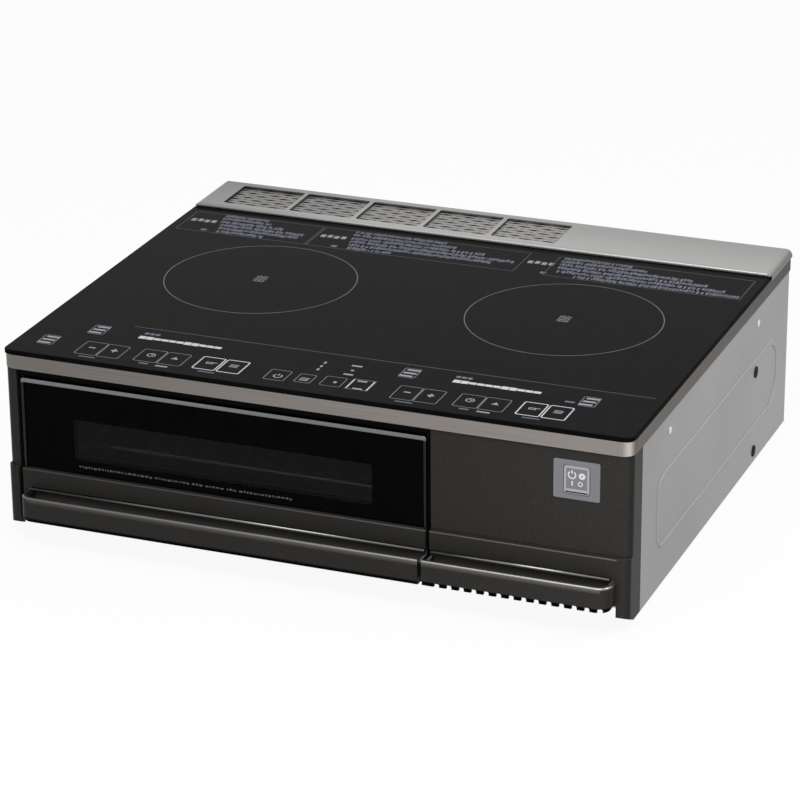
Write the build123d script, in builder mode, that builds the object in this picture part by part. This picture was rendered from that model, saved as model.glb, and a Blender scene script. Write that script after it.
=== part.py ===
from build123d import *
import os

os.makedirs("parts", exist_ok=True)

# Overall sizes, in millimetres
body_width = 598.0
body_depth = 493.5
handle_reach = 23.5
foot_height = 6.0

# Sheet, wall and general clearances
sheet = 0.8
moulding_wall = 3.0
slip = 0.2
running = 0.3

# Top frame, glass and its seal
frame_bottom = 164.2
frame_height = 13.2
frame_corner = 12.0
frame_rear_corner = 2.0
frame_flange = 16.0
flange_sheet = 1.0
seal_thickness = 0.3
seal_inset = 3.0
seal_width = 8.0
glass_thickness = 4.0
glass_inset = 0.5
glass_corner = 7.0
glass_length = 423.5
glass_edge_round = 0.8

# Cooking zones under the glass
zone_spacing = 304.0
zone_setback = 248.0

# Front of the cooker, seen from the front: heights from the floor and places across
step_height = 68.8
rim_height = 50.2
lip_top = 49.2
handle_bottom = 25.0
side_bottom = 6.5
pillar_toe = 14.3
pillar_toe_depth = 17.0
seam_left = 111.6
seam_right = 115.2
pillar_inset = 13.3
door_inset = 17.4
handle_inset = 21.5
ledge_inset = 12.0
panel_inset = 1.0

# Front of the cooker, seen from the side: distances behind the frame's front face
panel_face = 1.5
band_face = -3.0
panel_back = 4.5
wrap_depth = 31.6
pillar_corner = 9.0
return_depth = 18.0

# Finger trough behind the handle lip
lip_thickness = 5.0
lip_round = 2.3
lip_under_round = 2.2
lip_corner = 12.0
trough_floor = 33.5
trough_undercut = 4.5
trough_end = 2.5
step_round = 1.4
rim_round = 1.5

# Black rail above the door
crossbar_gap = 1.0
crossbar_setback = 4.6
crossbar_depth = 4.0

# Air intake teeth under the right ledge
tooth_pitch = 11.5
notch_width = 5.0
notch_height = 4.0
tooth_setback = 2.0
tooth_height = 4.5
intake_wall = 3.0
intake_roof = 2.5

# Grill door
door_top = 156.3
door_back = 12.0
door_glass_thickness = 4.0
door_glass_chamfer = 0.5
trim_band = 4.5
trim_edge = 2.9
trim_proud = 1.2
trim_round = 2.5
trim_edge_round = 1.1
window_inset = 69.0
window_right = 60.0
window_bottom = 83.0
window_top = 122.0
inner_glass_thickness = 3.0
inner_glass_border = 6.0
inner_plate_sheet = 1.2
inner_plate_inset = 27.0
inner_plate_right = 102.0
inner_plate_bottom = 26.0
inner_plate_top = 150.0
inner_plate_round = 6.0
door_screw_radius = 1.5
door_screw_cap = 1.2
door_screw_depth = 5.0
door_screw_inset = 12.0
door_seal_width = 6.0
door_seal_gap = 0.4
door_seal_round = 1.0

# Grill cavity
cavity_inset = 37.0
cavity_right = 92.0
cavity_floor = 34.0
cavity_roof = 131.0
cavity_mouth = 18.0
cavity_back = 390.0
cavity_flange = 8.0
fascia_inset = 11.0
fascia_right = 118.0
fascia_bottom = 8.0
fascia_top = 157.0
support_width = 24.0
support_places = (80.0, 350.0)

# Drawer slides, tray and rack
channel_floor = 49.7
channel_height = 12.6
channel_sheet = 1.0
channel_reach = 7.0
channel_start = 20.0
channel_end = 385.0
carrier_sheet = 1.5
carrier_height = 10.0
carrier_ledge = 11.5
carrier_end = 350.0
carrier_bar = 10.0
tray_sheet = 1.0
tray_depth = 15.5
tray_clearance = 1.0
tray_corner = 12.0
tray_draft = 4.0
rack_wire_diameter = 5.0
rack_rod_diameter = 2.6
rack_height = 80.0
rack_front = 46.0
rack_rear = 328.0
rack_rod_count = 17
wire_sides = 8
nut_sides = 6
rack_corner = 14.0
rack_inset = 8.2

# Heaters
heater_wire_diameter = 6.5
upper_heater_height = 121.0
upper_heater_inset = 16.0
lower_heater_height = 64.0
lower_heater_inset = 52.0
upper_leg_count = 4
lower_leg_count = 2
heater_bend = 30.0
heater_front = 78.0
heater_turn_back = 330.0
heater_tail = 404.0
bushing_diameter = 14.0
bushing_length = 9.0

# Exhaust duct and cover
duct_inset = 37.0
duct_bottom = 98.0
duct_shoulder = 140.0
duct_front = 428.0
duct_rear = 486.0
port_margin = 8.0
exhaust_inset = 27.0
exhaust_right = 80.0
exhaust_front = 429.0
exhaust_rear = 483.0
window_count = 5
window_bar = 4.5
cover_overhang = 1.0
cover_front = 418.5
cover_top = 185.5
cover_lip = 3.1
cover_sheet = 1.2
cover_round = 2.2
cover_end_round = 7.5
mesh_thickness = 0.8
mesh_drop = 2.8
mesh_margin = 3.0
slot_count = 7
slot_width = 4.4

# Side panels
bead_front = 79.0
bead_rear = 457.0
bead_bottom = 44.0
bead_top = 111.0
bead_front_corner = 16.0
bead_rear_corner = 32.0
bead_width = 5.0
bead_height = 0.8
screw_front = 108.1
screw_rear = 385.6
screw_height = 147.6
hole_setback = 381.0
hole_heights = (99.5, 18.5)
hole_diameter = 5.4
screw_head = 7.0
screw_head_height = 0.8
screw_shank = 3.4
screw_length = 7.0

# Power switch
plate_inset = 29.0
plate_width = 42.0
plate_bottom = 118.0
plate_top = 154.0
plate_proud = 0.6
plate_lap_width = 2.0
key_width = 24.0
key_height = 26.6
key_proud = 0.9
key_depth = 7.2
key_travel = 2.0
key_corner = 2.5
key_gap = 0.3
stem_radius = 4.0
stem_length = 12.0
switch_width = 30.0
switch_height = 28.0
switch_depth = 30.0
switch_setback = 16.0
spring_wall = 1.2
arm_thickness = 2.0
arm_length = 12.0
plate_corner = 1.5
key_chamfer = 0.4

# Base, partition and rear panel
pan_front = 32.0
pan_flange = 10.0
partition_place = 107.0
partition_top = 140.0
rear_inset = 2.0
vent_length = 40.0
vent_width = 4.0
vent_pitch = 11.0
vent_rows = 8
vent_columns = 2
vent_spread = 52.0
vent_height = 95.0
intake_rows = 6
foot_radius = 15.0
foot_inset = 44.0
foot_places = (60.0, 450.0)
foot_stud = 3.0
foot_stud_length = 5.0
foot_chamfer = 1.0
rear_screw_inset = 29.0
rear_screw_places = (-100.0, 30.0, 200.0)
rear_screw_height = 12.0

# Coils
support_flange = 14.0
support_front = 95.0
support_rear = 415.0
coil_base_radius = 95.0
coil_clearance = 6.7
coil_base_thickness = 3.0
winding_outer = 88.0
winding_inner = 28.0
winding_height = 5.0
winding_round = 1.5
ferrite_length = 50.0
ferrite_width = 12.0
ferrite_height = 4.0
ferrite_start_radius = 30.0
ferrite_count = 8
post_radius = 6.0
post_circle_radius = 84.0
post_count = 4
post_angle = 22.5
sensor_radius = 8.0
sensor_depth = 3.0

# Touch controls under the front of the glass
control_inset_left = 19.0
control_inset_right = 14.0
control_rear = 92.0
control_floor = 1.5
control_height = 9.0
board_thickness = 1.6
board_margin = 8.0
board_rise = 2.0
rib_count = 5
contact_width = 9.0
contact_setback = 28.0
contact_groups = (-209.0, -100.0, -22.0, 95.0, 177.0)
contact_pitch = 29.0

# Electronics in the right compartment
inverter_left = 122.0
inverter_inset = 14.0
inverter_front = 60.0
inverter_rear = 330.0
inverter_height = 22.0
standoff_radius = 4.0
standoff_margin = 10.0
sink_left = 135.0
sink_gap = 25.0
sink_front = 100.0
sink_length = 160.0
sink_base = 5.0
sink_height = 45.0
sink_fins = 9
fin_thickness = 1.6
capacitor_radius = 15.0
capacitor_height = 42.0
capacitor_round = 1.0
capacitor_pitch = 38.0
capacitor_count = 4
capacitor_inset = 40.0
capacitor_front = 110.0

# Cooling fan
fan_inset = 109.0
fan_setback = 415.0
fan_radius = 52.0
fan_wall = 2.0
fan_height = 38.0
fan_inlet = 30.0
outlet_width = 60.0
outlet_length = 30.0
rotor_radius = 42.0
rotor_bottom = 12.0
rotor_top = 40.0
blade_count = 24
blade_length = 10.0
blade_thickness = 1.2
blade_angle = 35.0
hub_radius = 7.0
hub_plate = 2.0
shaft_radius = 2.5
shaft_fit = 0.05
motor_radius = 22.0
motor_height = 18.0
motor_chamfer = 1.5

# Mains connection at the rear
gland_inset = 31.0
gland_height = 60.0
gland_radius = 9.0
gland_flange = 13.0
gland_length = 14.0
terminal_width = 40.0
terminal_depth = 26.0
terminal_height = 24.0
terminal_ways = 3
terminal_hole = 4.0
terminal_hole_depth = 8.0
terminal_setback = 405.0

# Planes and places that several pieces share
half_width = body_width / 2
front = -(body_depth - handle_reach) / 2
rear = front + body_depth
middle = (front + rear) / 2
frame_top = frame_bottom + frame_height
glass_bottom = frame_top + seal_thickness
glass_top = glass_bottom + glass_thickness
pan_bottom = foot_height
pan_top = pan_bottom + sheet
side_face = half_width - panel_inset
side_inner = side_face - sheet
nose = front - handle_reach
panel_top = frame_bottom - slip
pillar_left_inner = pillar_inset - half_width
door_left = door_inset - half_width
handle_left = handle_inset - half_width
ledge_right = half_width - ledge_inset
window_left = window_inset - half_width
inner_plate_left = inner_plate_inset - half_width
cavity_left = cavity_inset - half_width
fascia_left = fascia_inset - half_width
duct_left = cavity_left + duct_inset
duct_right = cavity_right - duct_inset
exhaust_left = exhaust_inset - half_width
plate_right = half_width - plate_inset
plate_left = plate_right - plate_width
foot_place_x = half_width - foot_inset
cavity_middle = (cavity_left + cavity_right) / 2
cavity_width = cavity_right - cavity_left
zone_y = front + zone_setback
coil_base_height = glass_bottom - coil_clearance - winding_height - coil_base_thickness
control_left = control_inset_left - half_width
control_right = half_width - control_inset_right
inverter_right = half_width - inverter_inset
capacitor_place = inverter_right - capacitor_inset
sink_width = capacitor_place - capacitor_radius - sink_gap - sink_left
fan_place = half_width - fan_inset
gland_place = half_width - gland_inset
rear_face = rear - rear_inset
fan_y = front + fan_setback


def block(x, y, z, mode=Mode.ADD):
    """A box between two limits along each axis."""
    centre = [(low + high) / 2 for low, high in (x, y, z)]
    size = [high - low for low, high in (x, y, z)]
    with Locations(tuple(centre)):
        Box(*size, mode=mode)


def save(piece, name):
    """Label a finished piece and write its file."""
    piece.part.label = name
    export_step(piece.part, f"parts/{name}.step")


# Base pan with its intake slots, and the rubber feet that are pushed through it
foot_hole = foot_stud + slip
rear_screw_centres = [(x, rear_screw_height) for x in (rear_screw_inset - half_width, *rear_screw_places)]
foot_centres = [(side * foot_place_x, front + place) for side in (-1, 1) for place in foot_places]

with BuildPart() as base_pan:
    pan_limits = ((-side_inner, side_inner), (front + pan_front, rear_face - sheet))
    block(*pan_limits, (pan_bottom, pan_top + pan_flange))
    inside = [(low + sheet, high - sheet) for low, high in pan_limits]
    block(*inside, (pan_top, pan_top + pan_flange), mode=Mode.SUBTRACT)
    with BuildSketch(Plane.XY.offset(pan_bottom)):
        with Locations((fan_place, fan_y)):
            with GridLocations(vent_spread, vent_pitch, 1, intake_rows):
                Rectangle(vent_length, vent_width)
        with Locations(*foot_centres):
            Circle(foot_hole)
    extrude(amount=sheet, mode=Mode.SUBTRACT)
    with BuildSketch(Plane.XZ.offset(-rear_face + sheet)):
        with Locations(*rear_screw_centres):
            Circle(screw_shank / 2 + slip)
    extrude(amount=sheet, mode=Mode.SUBTRACT)
save(base_pan, "base_pan")

with BuildPart() as feet:
    with BuildSketch(Plane.XY):
        with Locations(*foot_centres):
            Circle(foot_radius)
    extrude(amount=foot_height)
    chamfer(feet.edges().filter_by(GeomType.CIRCLE).group_by(Axis.Z)[0], foot_chamfer)
    with BuildSketch(Plane.XY.offset(foot_height)):
        with Locations(*foot_centres):
            Circle(foot_stud)
    extrude(amount=foot_stud_length)
save(feet, "feet")


# Front mouldings: the trough with its handle lip runs along both the door and the right panel
def lower_front(left, right, lip_left, lip_right, back, left_round, right_round):
    """The band under the step with the handle lip and the finger trough in front of it."""
    lip_face = front + band_face
    inner_nose = nose + lip_thickness
    root = lip_face + trough_undercut / 2
    trough_left = lip_left + (lip_thickness if left_round else 0)
    trough_right = lip_right - (lip_thickness if right_round else 0)

    def plan(plane, x_limits, y_front, radius):
        """A strip in front of the band, with a round corner at each free end."""
        with BuildSketch(plane) as strip:
            with Locations((sum(x_limits) / 2, (y_front + root) / 2)):
                Rectangle(x_limits[1] - x_limits[0], root - y_front)
            corners = strip.vertices().group_by(Axis.Y)[0].sort_by(Axis.X)
            if left_round:
                fillet(corners[0], radius)
            if right_round:
                fillet(corners[-1], radius)
        return strip.sketch

    with BuildPart() as moulding:
        extrude(plan(Plane.XY.offset(handle_bottom), (lip_left, lip_right), nose, lip_corner),
                amount=lip_top - handle_bottom)
        extrude(plan(Plane.XY.offset(trough_floor), (trough_left, trough_right), inner_nose,
                     lip_corner - lip_thickness),
                amount=lip_top - trough_floor, mode=Mode.SUBTRACT)
        for level, radius in ((lip_top, lip_round), (handle_bottom, lip_under_round)):
            level_edges = moulding.edges().filter_by_position(Axis.Z, level, level)
            lip_edges = level_edges.filter_by(lambda edge: edge.center().Y < root - slip)
            if not left_round:
                lip_edges = lip_edges.filter_by(lambda edge: edge.center().X > lip_left + slip)
            if not right_round:
                lip_edges = lip_edges.filter_by(lambda edge: edge.center().X < lip_right - slip)
            fillet(lip_edges, radius)
        block((left, right), (lip_face, front + back), (handle_bottom, step_height))
        block(
            (trough_left, trough_right),
            (lip_face, lip_face + trough_undercut),
            (trough_floor, rim_height),
            mode=Mode.SUBTRACT,
        )
        for free, end in ((left_round, (lip_left, lip_left + trough_end)),
                          (right_round, (lip_right - trough_end, lip_right))):
            if not free:
                block(end, (inner_nose, lip_face + trough_undercut), (trough_floor, lip_top - lip_thickness))
        step_edge = moulding.edges().filter_by(Axis.X).group_by(Axis.Z)[-1].sort_by(Axis.Y)[0]
        fillet(step_edge, step_round)
        rim_edges = moulding.edges().filter_by(Axis.X).filter_by_position(Axis.Z, rim_height, rim_height)
        fillet(rim_edges.sort_by(Axis.Y)[0], rim_round)
    return moulding.part


def corner_wrap(side, inner, face, thickness, bottom, top):
    """A front pillar that turns round the corner of the body as far as the side panel."""
    outer = side * side_face
    inside = side * (side_face - moulding_wall)
    with BuildPart() as wrap:
        with BuildSketch(Plane.XY.offset(bottom)) as plan:
            with BuildLine():
                Polyline(
                    (inner, front + face),
                    (outer, front + face),
                    (outer, front + wrap_depth),
                    (inside, front + wrap_depth),
                    (inside, front + face + thickness),
                    (inner, front + face + thickness),
                    close=True,
                )
            make_face()
            corner = plan.vertices().group_by(Axis.Y)[0].sort_by(Axis.X)[-1 if side > 0 else 0]
            fillet(corner, pillar_corner)
        extrude(amount=top - bottom)
    return wrap.part


def pillar_toe_cut():
    """The wedge that lifts the toe of a pillar off the floor."""
    with BuildPart() as wedge:
        with BuildSketch(Plane.YZ.offset(-half_width)):
            with BuildLine():
                Polyline(
                    (front + band_face, side_bottom),
                    (front + band_face, pillar_toe),
                    (front + band_face + pillar_toe_depth, side_bottom),
                    close=True,
                )
            make_face()
        extrude(amount=body_width)
    return wedge.part


def ledge_plan(shrink, left, back):
    """The right ledge from above, shrunk at its front and at its free end."""
    with BuildSketch(Plane.XY.offset(handle_bottom)) as plan:
        right, near = ledge_right - shrink, nose + shrink
        with Locations(((left + right) / 2, (near + back) / 2)):
            Rectangle(right - left, back - near)
        fillet(plan.vertices().group_by(Axis.Y)[0].sort_by(Axis.X)[-1], lip_corner - shrink)
    return plan.sketch


toe = pillar_toe_cut()
band_depth = panel_back - band_face
panel_thickness = panel_back - panel_face
ledge_end = ledge_right + trough_end
right_band = lower_front(seam_right, ledge_end, seam_right, ledge_right, panel_back, False, True)
right_pillar = corner_wrap(1, ledge_right, band_face, band_depth, side_bottom, step_height)
right_upper = corner_wrap(1, seam_right, panel_face, panel_thickness, step_height, panel_top)

with BuildPart() as right_front_panel:
    add(right_band)
    add(right_pillar)
    add(right_upper)
    add(toe, mode=Mode.SUBTRACT)
    block(
        (seam_right, seam_right + moulding_wall),
        (front + panel_back, front + return_depth),
        (handle_bottom, panel_top),
    )
    band_front = front + band_face
    comb = ledge_plan(tooth_setback, seam_right - slip, band_front)
    extrude(ledge_plan(-slip, seam_right - slip, band_front) - comb, amount=tooth_height, mode=Mode.SUBTRACT)
    pocket_back = front + panel_back - intake_wall
    pocket = ledge_plan(tooth_setback + intake_wall, seam_right + trough_end, pocket_back)
    extrude(pocket, amount=trough_floor - intake_roof - handle_bottom, mode=Mode.SUBTRACT)
    notch_count = int((ledge_right - lip_corner / 2 - seam_right) // tooth_pitch)
    notch_middle = (seam_right + ledge_right) / 2 + notch_width / 2
    with BuildSketch(Plane.XZ.offset(-nose)):
        with Locations((notch_middle, handle_bottom)):
            with GridLocations(tooth_pitch, notch_height, notch_count, 1):
                SlotOverall(2 * notch_height, notch_width, rotation=90)
    extrude(amount=-tooth_setback - 2 * intake_wall, mode=Mode.SUBTRACT)
    block(
        (plate_left + plate_lap_width, plate_right - plate_lap_width),
        (front + panel_face, front + panel_back),
        (plate_bottom + plate_lap_width, plate_top - plate_lap_width),
        mode=Mode.SUBTRACT,
    )
save(right_front_panel, "right_front_panel")

left_lower = corner_wrap(-1, pillar_left_inner, band_face, band_depth, side_bottom, step_height)
left_upper = corner_wrap(-1, pillar_left_inner, panel_face, panel_thickness, step_height, panel_top)
with BuildPart() as left_pillar:
    add(left_lower)
    add(left_upper)
    add(toe, mode=Mode.SUBTRACT)
    block(
        (pillar_left_inner - moulding_wall, pillar_left_inner),
        (front + panel_back, front + return_depth),
        (handle_bottom, panel_top),
    )
save(left_pillar, "left_pillar")

# Black rail that closes the front above the door
with BuildPart() as front_crossbar:
    block(
        (pillar_left_inner, seam_right),
        (front + crossbar_setback, front + crossbar_setback + crossbar_depth),
        (door_top + crossbar_gap, panel_top),
    )
save(front_crossbar, "front_crossbar")


# Side panels with a pressed bead, a pair of holes and screws
def bead_outline(grow):
    """The bead's rounded outline in the side's own plane, grown or shrunk by a distance."""
    length = bead_rear - bead_front
    height = bead_top - bead_bottom
    with BuildSketch(Plane.YZ) as outline:
        with Locations((front + (bead_front + bead_rear) / 2, (bead_bottom + bead_top) / 2)):
            Rectangle(length + 2 * grow, height + 2 * grow)
        fillet(outline.vertices().group_by(Axis.X)[-1], bead_rear_corner + grow)
        fillet(outline.vertices().group_by(Axis.X)[0], bead_front_corner + grow)
    return outline.sketch


bead_crown = bead_width / 2 - bead_height
outer_bead = bead_outline(bead_width / 2)
inner_bead = bead_outline(-bead_width / 2)
bead_groove = bead_outline(bead_crown - sheet / 2) - bead_outline(sheet / 2 - bead_crown)
side_top = frame_top - flange_sheet - slip


def side_panel(side):
    """One side sheet; its bead stands out and its back is hollow behind the bead."""
    face = side * side_face
    outward = Vector(side, 0, 0)
    with BuildPart() as panel:
        block(
            tuple(sorted((face, face - side * sheet))),
            (front + wrap_depth, rear_face),
            (side_bottom, side_top),
        )
        extrude(Pos(face, 0, 0) * (outer_bead - inner_bead), amount=bead_height, dir=outward)
        raised = panel.faces().sort_by(Axis.X)[-1 if side > 0 else 0]
        chamfer(raised.edges(), bead_height - sheet / 4)
        hollow = Pos(face - side * sheet, 0, 0) * bead_groove
        extrude(hollow, amount=bead_height, dir=outward, mode=Mode.SUBTRACT)
        with BuildSketch(Plane.YZ.offset(face - side * sheet)):
            with Locations(*[(front + hole_setback, height) for height in hole_heights]):
                Circle(hole_diameter / 2)
            with Locations((front + screw_front, screw_height), (front + screw_rear, screw_height)):
                Circle(screw_shank / 2 + slip)
        extrude(amount=sheet * side, mode=Mode.SUBTRACT)
    return panel


side_panel_left = side_panel(-1)
side_panel_right = side_panel(1)
save(side_panel_left, "side_panel_left")
save(side_panel_right, "side_panel_right")

with BuildPart() as side_screws:
    for side in (-1, 1):
        for place in (screw_front, screw_rear):
            with Locations((side * (side_face + screw_head_height / 2), front + place, screw_height)):
                Cylinder(screw_head / 2, screw_head_height, rotation=(0, 90, 0))
            with Locations((side * (side_face - screw_length / 2), front + place, screw_height)):
                Cylinder(screw_shank / 2, screw_length, rotation=(0, 90, 0))
save(side_screws, "side_screws")

# Rear panel with louvres behind the fan and a hole for the mains gland
with BuildPart() as rear_panel:
    block((-side_inner, side_inner), (rear_face - sheet, rear_face), (pan_bottom, side_top))
    with BuildSketch(Plane.XZ.offset(-rear_face)):
        with Locations((fan_place, vent_height)):
            with GridLocations(vent_spread, vent_pitch, vent_columns, vent_rows):
                Rectangle(vent_length, vent_width)
        with Locations((gland_place, gland_height)):
            Circle(gland_radius + slip)
        with Locations(*rear_screw_centres):
            Circle(screw_shank / 2 + slip)
    extrude(amount=sheet, mode=Mode.SUBTRACT)
save(rear_panel, "rear_panel")

with BuildPart() as rear_screws:
    with BuildSketch(Plane.XZ.offset(-rear_face)):
        with Locations(*rear_screw_centres):
            Circle(screw_head / 2)
    extrude(amount=-screw_head_height)
    with BuildSketch(Plane.XZ.offset(-rear_face)):
        with Locations(*rear_screw_centres):
            Circle(screw_shank / 2)
    extrude(amount=screw_length)
save(rear_screws, "rear_screws")

with BuildPart() as partition_wall:
    block(
        (partition_place, partition_place + sheet),
        (front + pan_front + sheet, rear_face - 2 * sheet),
        (pan_top, partition_top),
    )
    block(
        (partition_place, partition_place + pan_flange),
        (front + pan_front + sheet, rear_face - 2 * sheet),
        (pan_top, pan_top + sheet),
    )
save(partition_wall, "partition_wall")

# Brushed top frame: a thin wall all round, a flange under the glass and a rear deck
deck_front = glass_length - frame_flange
with BuildPart() as top_frame:
    skirt = frame_height - flange_sheet
    for shrink, height, mode in ((0, frame_height, Mode.ADD), (sheet, skirt, Mode.SUBTRACT)):
        with BuildSketch(Plane.XY.offset(frame_bottom)) as frame_plan:
            with Locations((0, middle)):
                Rectangle(body_width - 2 * shrink, body_depth - 2 * shrink)
            fillet(frame_plan.vertices().group_by(Axis.Y)[0], frame_corner - shrink)
            fillet(frame_plan.vertices().group_by(Axis.Y)[-1], frame_rear_corner - shrink)
        extrude(amount=height, mode=mode)
    block(
        (-half_width + frame_flange, half_width - frame_flange),
        (front + frame_flange, front + deck_front),
        (frame_bottom, frame_top),
        mode=Mode.SUBTRACT,
    )
    block(
        (exhaust_left, exhaust_right),
        (front + exhaust_front, front + exhaust_rear),
        (frame_bottom, frame_top),
        mode=Mode.SUBTRACT,
    )
save(top_frame, "top_frame")


def glass_plan(plane, shrink):
    """The outline of the glass on a plane, shrunk by a distance."""
    with BuildSketch(plane) as plan:
        with Locations((0, front + (glass_inset + glass_length) / 2)):
            Rectangle(body_width - 2 * glass_inset - 2 * shrink, glass_length - glass_inset - 2 * shrink)
        fillet(plan.vertices(), max(glass_corner - shrink, slip))
    return plan.sketch


with BuildPart() as glass_seal:
    seal_plane = Plane.XY.offset(frame_top)
    extrude(glass_plan(seal_plane, seal_inset), amount=seal_thickness)
    extrude(glass_plan(seal_plane, seal_inset + seal_width), amount=seal_thickness, mode=Mode.SUBTRACT)
save(glass_seal, "glass_seal")

with BuildPart() as glass_plate:
    extrude(glass_plan(Plane.XY.offset(glass_bottom), 0), amount=glass_thickness)
    fillet(glass_plate.faces().sort_by(Axis.Z)[-1].edges(), glass_edge_round)
save(glass_plate, "glass_top")

# Grill door: the moulded front with its window, handle lip and finger trough
glass_seat = panel_face + door_glass_thickness + slip
pane_left = window_left - inner_glass_border
pane_right = window_right + inner_glass_border
pane_bottom = window_bottom - inner_glass_border
pane_top = window_top + inner_glass_border
pane_seat = door_back - inner_glass_thickness - slip / 2
window_size = (window_right - window_left, window_top - window_bottom)
door_screw_places = [
    (x, z)
    for x in (inner_plate_left + door_screw_inset, inner_plate_right - door_screw_inset)
    for z in (step_height + door_screw_inset, inner_plate_top - door_screw_inset / 2)
]
door_band = lower_front(door_left, seam_left, handle_left, seam_left, door_back, True, False)

with BuildPart() as drawer_front:
    add(door_band)
    block((door_left, seam_left), (front + glass_seat, front + door_back), (step_height, door_top))
    block(
        (window_left, window_right),
        (front + glass_seat, front + door_back),
        (window_bottom, window_top),
        mode=Mode.SUBTRACT,
    )
    block(
        (pane_left, pane_right),
        (front + pane_seat, front + door_back),
        (pane_bottom, pane_top),
        mode=Mode.SUBTRACT,
    )
    with BuildSketch(Plane.XZ.offset(-front - door_back)):
        with Locations(*door_screw_places):
            Circle(door_screw_radius + slip)
    extrude(amount=door_screw_depth, mode=Mode.SUBTRACT)
save(drawer_front, "drawer_front")

trim_left = door_left + slip
trim_right = seam_left - slip
with BuildPart() as door_trim:
    with BuildSketch(Plane.XZ.offset(-front - panel_face + trim_proud)) as trim_plan:
        with Locations(((trim_left + trim_right) / 2, (step_height + door_top) / 2)):
            Rectangle(trim_right - trim_left, door_top - step_height)
        fillet(trim_plan.vertices().group_by(Axis.Y)[-1], trim_round)
        with Locations(((trim_left + trim_right) / 2, (step_height + door_top) / 2 - trim_band)):
            Rectangle(trim_right - trim_left - 2 * trim_edge, door_top - step_height, mode=Mode.SUBTRACT)
    extrude(amount=-(door_glass_thickness + trim_proud + slip))
    face_edges = door_trim.faces().sort_by(Axis.Y)[0].outer_wire().edges()
    fillet(face_edges.filter_by(lambda edge: edge.center().Z > step_height + trim_band), trim_edge_round)
save(door_trim, "door_trim")

with BuildPart() as door_glass:
    block(
        (trim_left + trim_edge + slip, trim_right - trim_edge - slip),
        (front + panel_face, front + panel_face + door_glass_thickness),
        (step_height + slip, door_top - trim_band - slip),
    )
    chamfer(door_glass.faces().sort_by(Axis.Y)[0].edges(), door_glass_chamfer)
save(door_glass, "door_glass")

with BuildPart() as inner_glass:
    block(
        (pane_left + slip, pane_right - slip),
        (front + pane_seat, front + pane_seat + inner_glass_thickness),
        (pane_bottom + slip, pane_top - slip),
    )
save(inner_glass, "inner_glass")

with BuildPart() as inner_door:
    with BuildSketch(Plane.XZ.offset(-front - door_back)) as plate_plan:
        plate_middle = (inner_plate_bottom + inner_plate_top) / 2
        with Locations(((inner_plate_left + inner_plate_right) / 2, plate_middle)):
            Rectangle(inner_plate_right - inner_plate_left, inner_plate_top - inner_plate_bottom)
        fillet(plate_plan.vertices(), inner_plate_round)
        with Locations(((window_left + window_right) / 2, (window_bottom + window_top) / 2)):
            RectangleRounded(window_size[0], window_size[1], trim_round, mode=Mode.SUBTRACT)
        with Locations(*door_screw_places):
            Circle(door_screw_radius + slip, mode=Mode.SUBTRACT)
    extrude(amount=-inner_plate_sheet)
save(inner_door, "inner_door")

plate_back = front + door_back + inner_plate_sheet
with BuildPart() as door_screws:
    with BuildSketch(Plane.XZ.offset(-plate_back)):
        with Locations(*door_screw_places):
            Circle(2 * door_screw_radius)
    extrude(amount=-door_screw_cap)
    with BuildSketch(Plane.XZ.offset(-plate_back)):
        with Locations(*door_screw_places):
            Circle(door_screw_radius)
    extrude(amount=door_screw_depth)
save(door_screws, "door_screws")

with BuildPart() as door_seal:
    seal_depth = (plate_back, front + cavity_mouth - door_seal_gap)
    seal_span = (cavity_left - cavity_flange, cavity_right + cavity_flange)
    seal_rise = (cavity_floor - cavity_flange, cavity_roof + cavity_flange)
    block(seal_span, seal_depth, seal_rise)
    inside = [(low + door_seal_width, high - door_seal_width) for low, high in (seal_span, seal_rise)]
    block(inside[0], seal_depth, inside[1], mode=Mode.SUBTRACT)
    fillet(door_seal.faces().sort_by(Axis.Y)[-1].edges(), door_seal_round)
save(door_seal, "door_seal")

# Grill cavity: a sheet box, open to the front, with an exhaust port high in its back
upper_first = cavity_left + upper_heater_inset
upper_pitch = (cavity_width - 2 * upper_heater_inset) / (upper_leg_count - 1)
lower_first = cavity_left + lower_heater_inset
lower_pitch = (cavity_width - 2 * lower_heater_inset) / (lower_leg_count - 1)
tail_places = [
    (upper_first, upper_heater_height),
    (upper_first + upper_pitch * (upper_leg_count - 1), upper_heater_height),
    (lower_first, lower_heater_height),
    (lower_first + lower_pitch * (lower_leg_count - 1), lower_heater_height),
]
mouth = front + cavity_mouth
with BuildPart() as grill_cavity:
    block(
        (cavity_left - sheet, cavity_right + sheet),
        (mouth, front + cavity_back + sheet),
        (cavity_floor - sheet, cavity_roof + sheet),
    )
    block((fascia_left, fascia_right), (mouth, mouth + sheet), (fascia_bottom, fascia_top))
    block(
        (cavity_left, cavity_right),
        (mouth, front + cavity_back),
        (cavity_floor, cavity_roof),
        mode=Mode.SUBTRACT,
    )
    block(
        (duct_left + port_margin, duct_right - port_margin),
        (front + cavity_back, front + cavity_back + sheet),
        (duct_bottom + port_margin, cavity_roof - port_margin / 2),
        mode=Mode.SUBTRACT,
    )
    with BuildSketch(Plane.XZ.offset(-front - cavity_back)):
        with Locations(*tail_places):
            Circle(heater_wire_diameter / 2 + running)
    extrude(amount=-sheet, mode=Mode.SUBTRACT)
save(grill_cavity, "grill_cavity")

with BuildPart() as cavity_supports:
    for place in support_places:
        y_limits = (front + place - support_width / 2, front + place + support_width / 2)
        block((cavity_left, cavity_right), y_limits, (pan_top, cavity_floor - sheet))
        block(
            (cavity_left, cavity_right),
            (y_limits[0] + sheet, y_limits[1] - sheet),
            (pan_top, cavity_floor - 2 * sheet),
            mode=Mode.SUBTRACT,
        )
save(cavity_supports, "cavity_supports")

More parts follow.
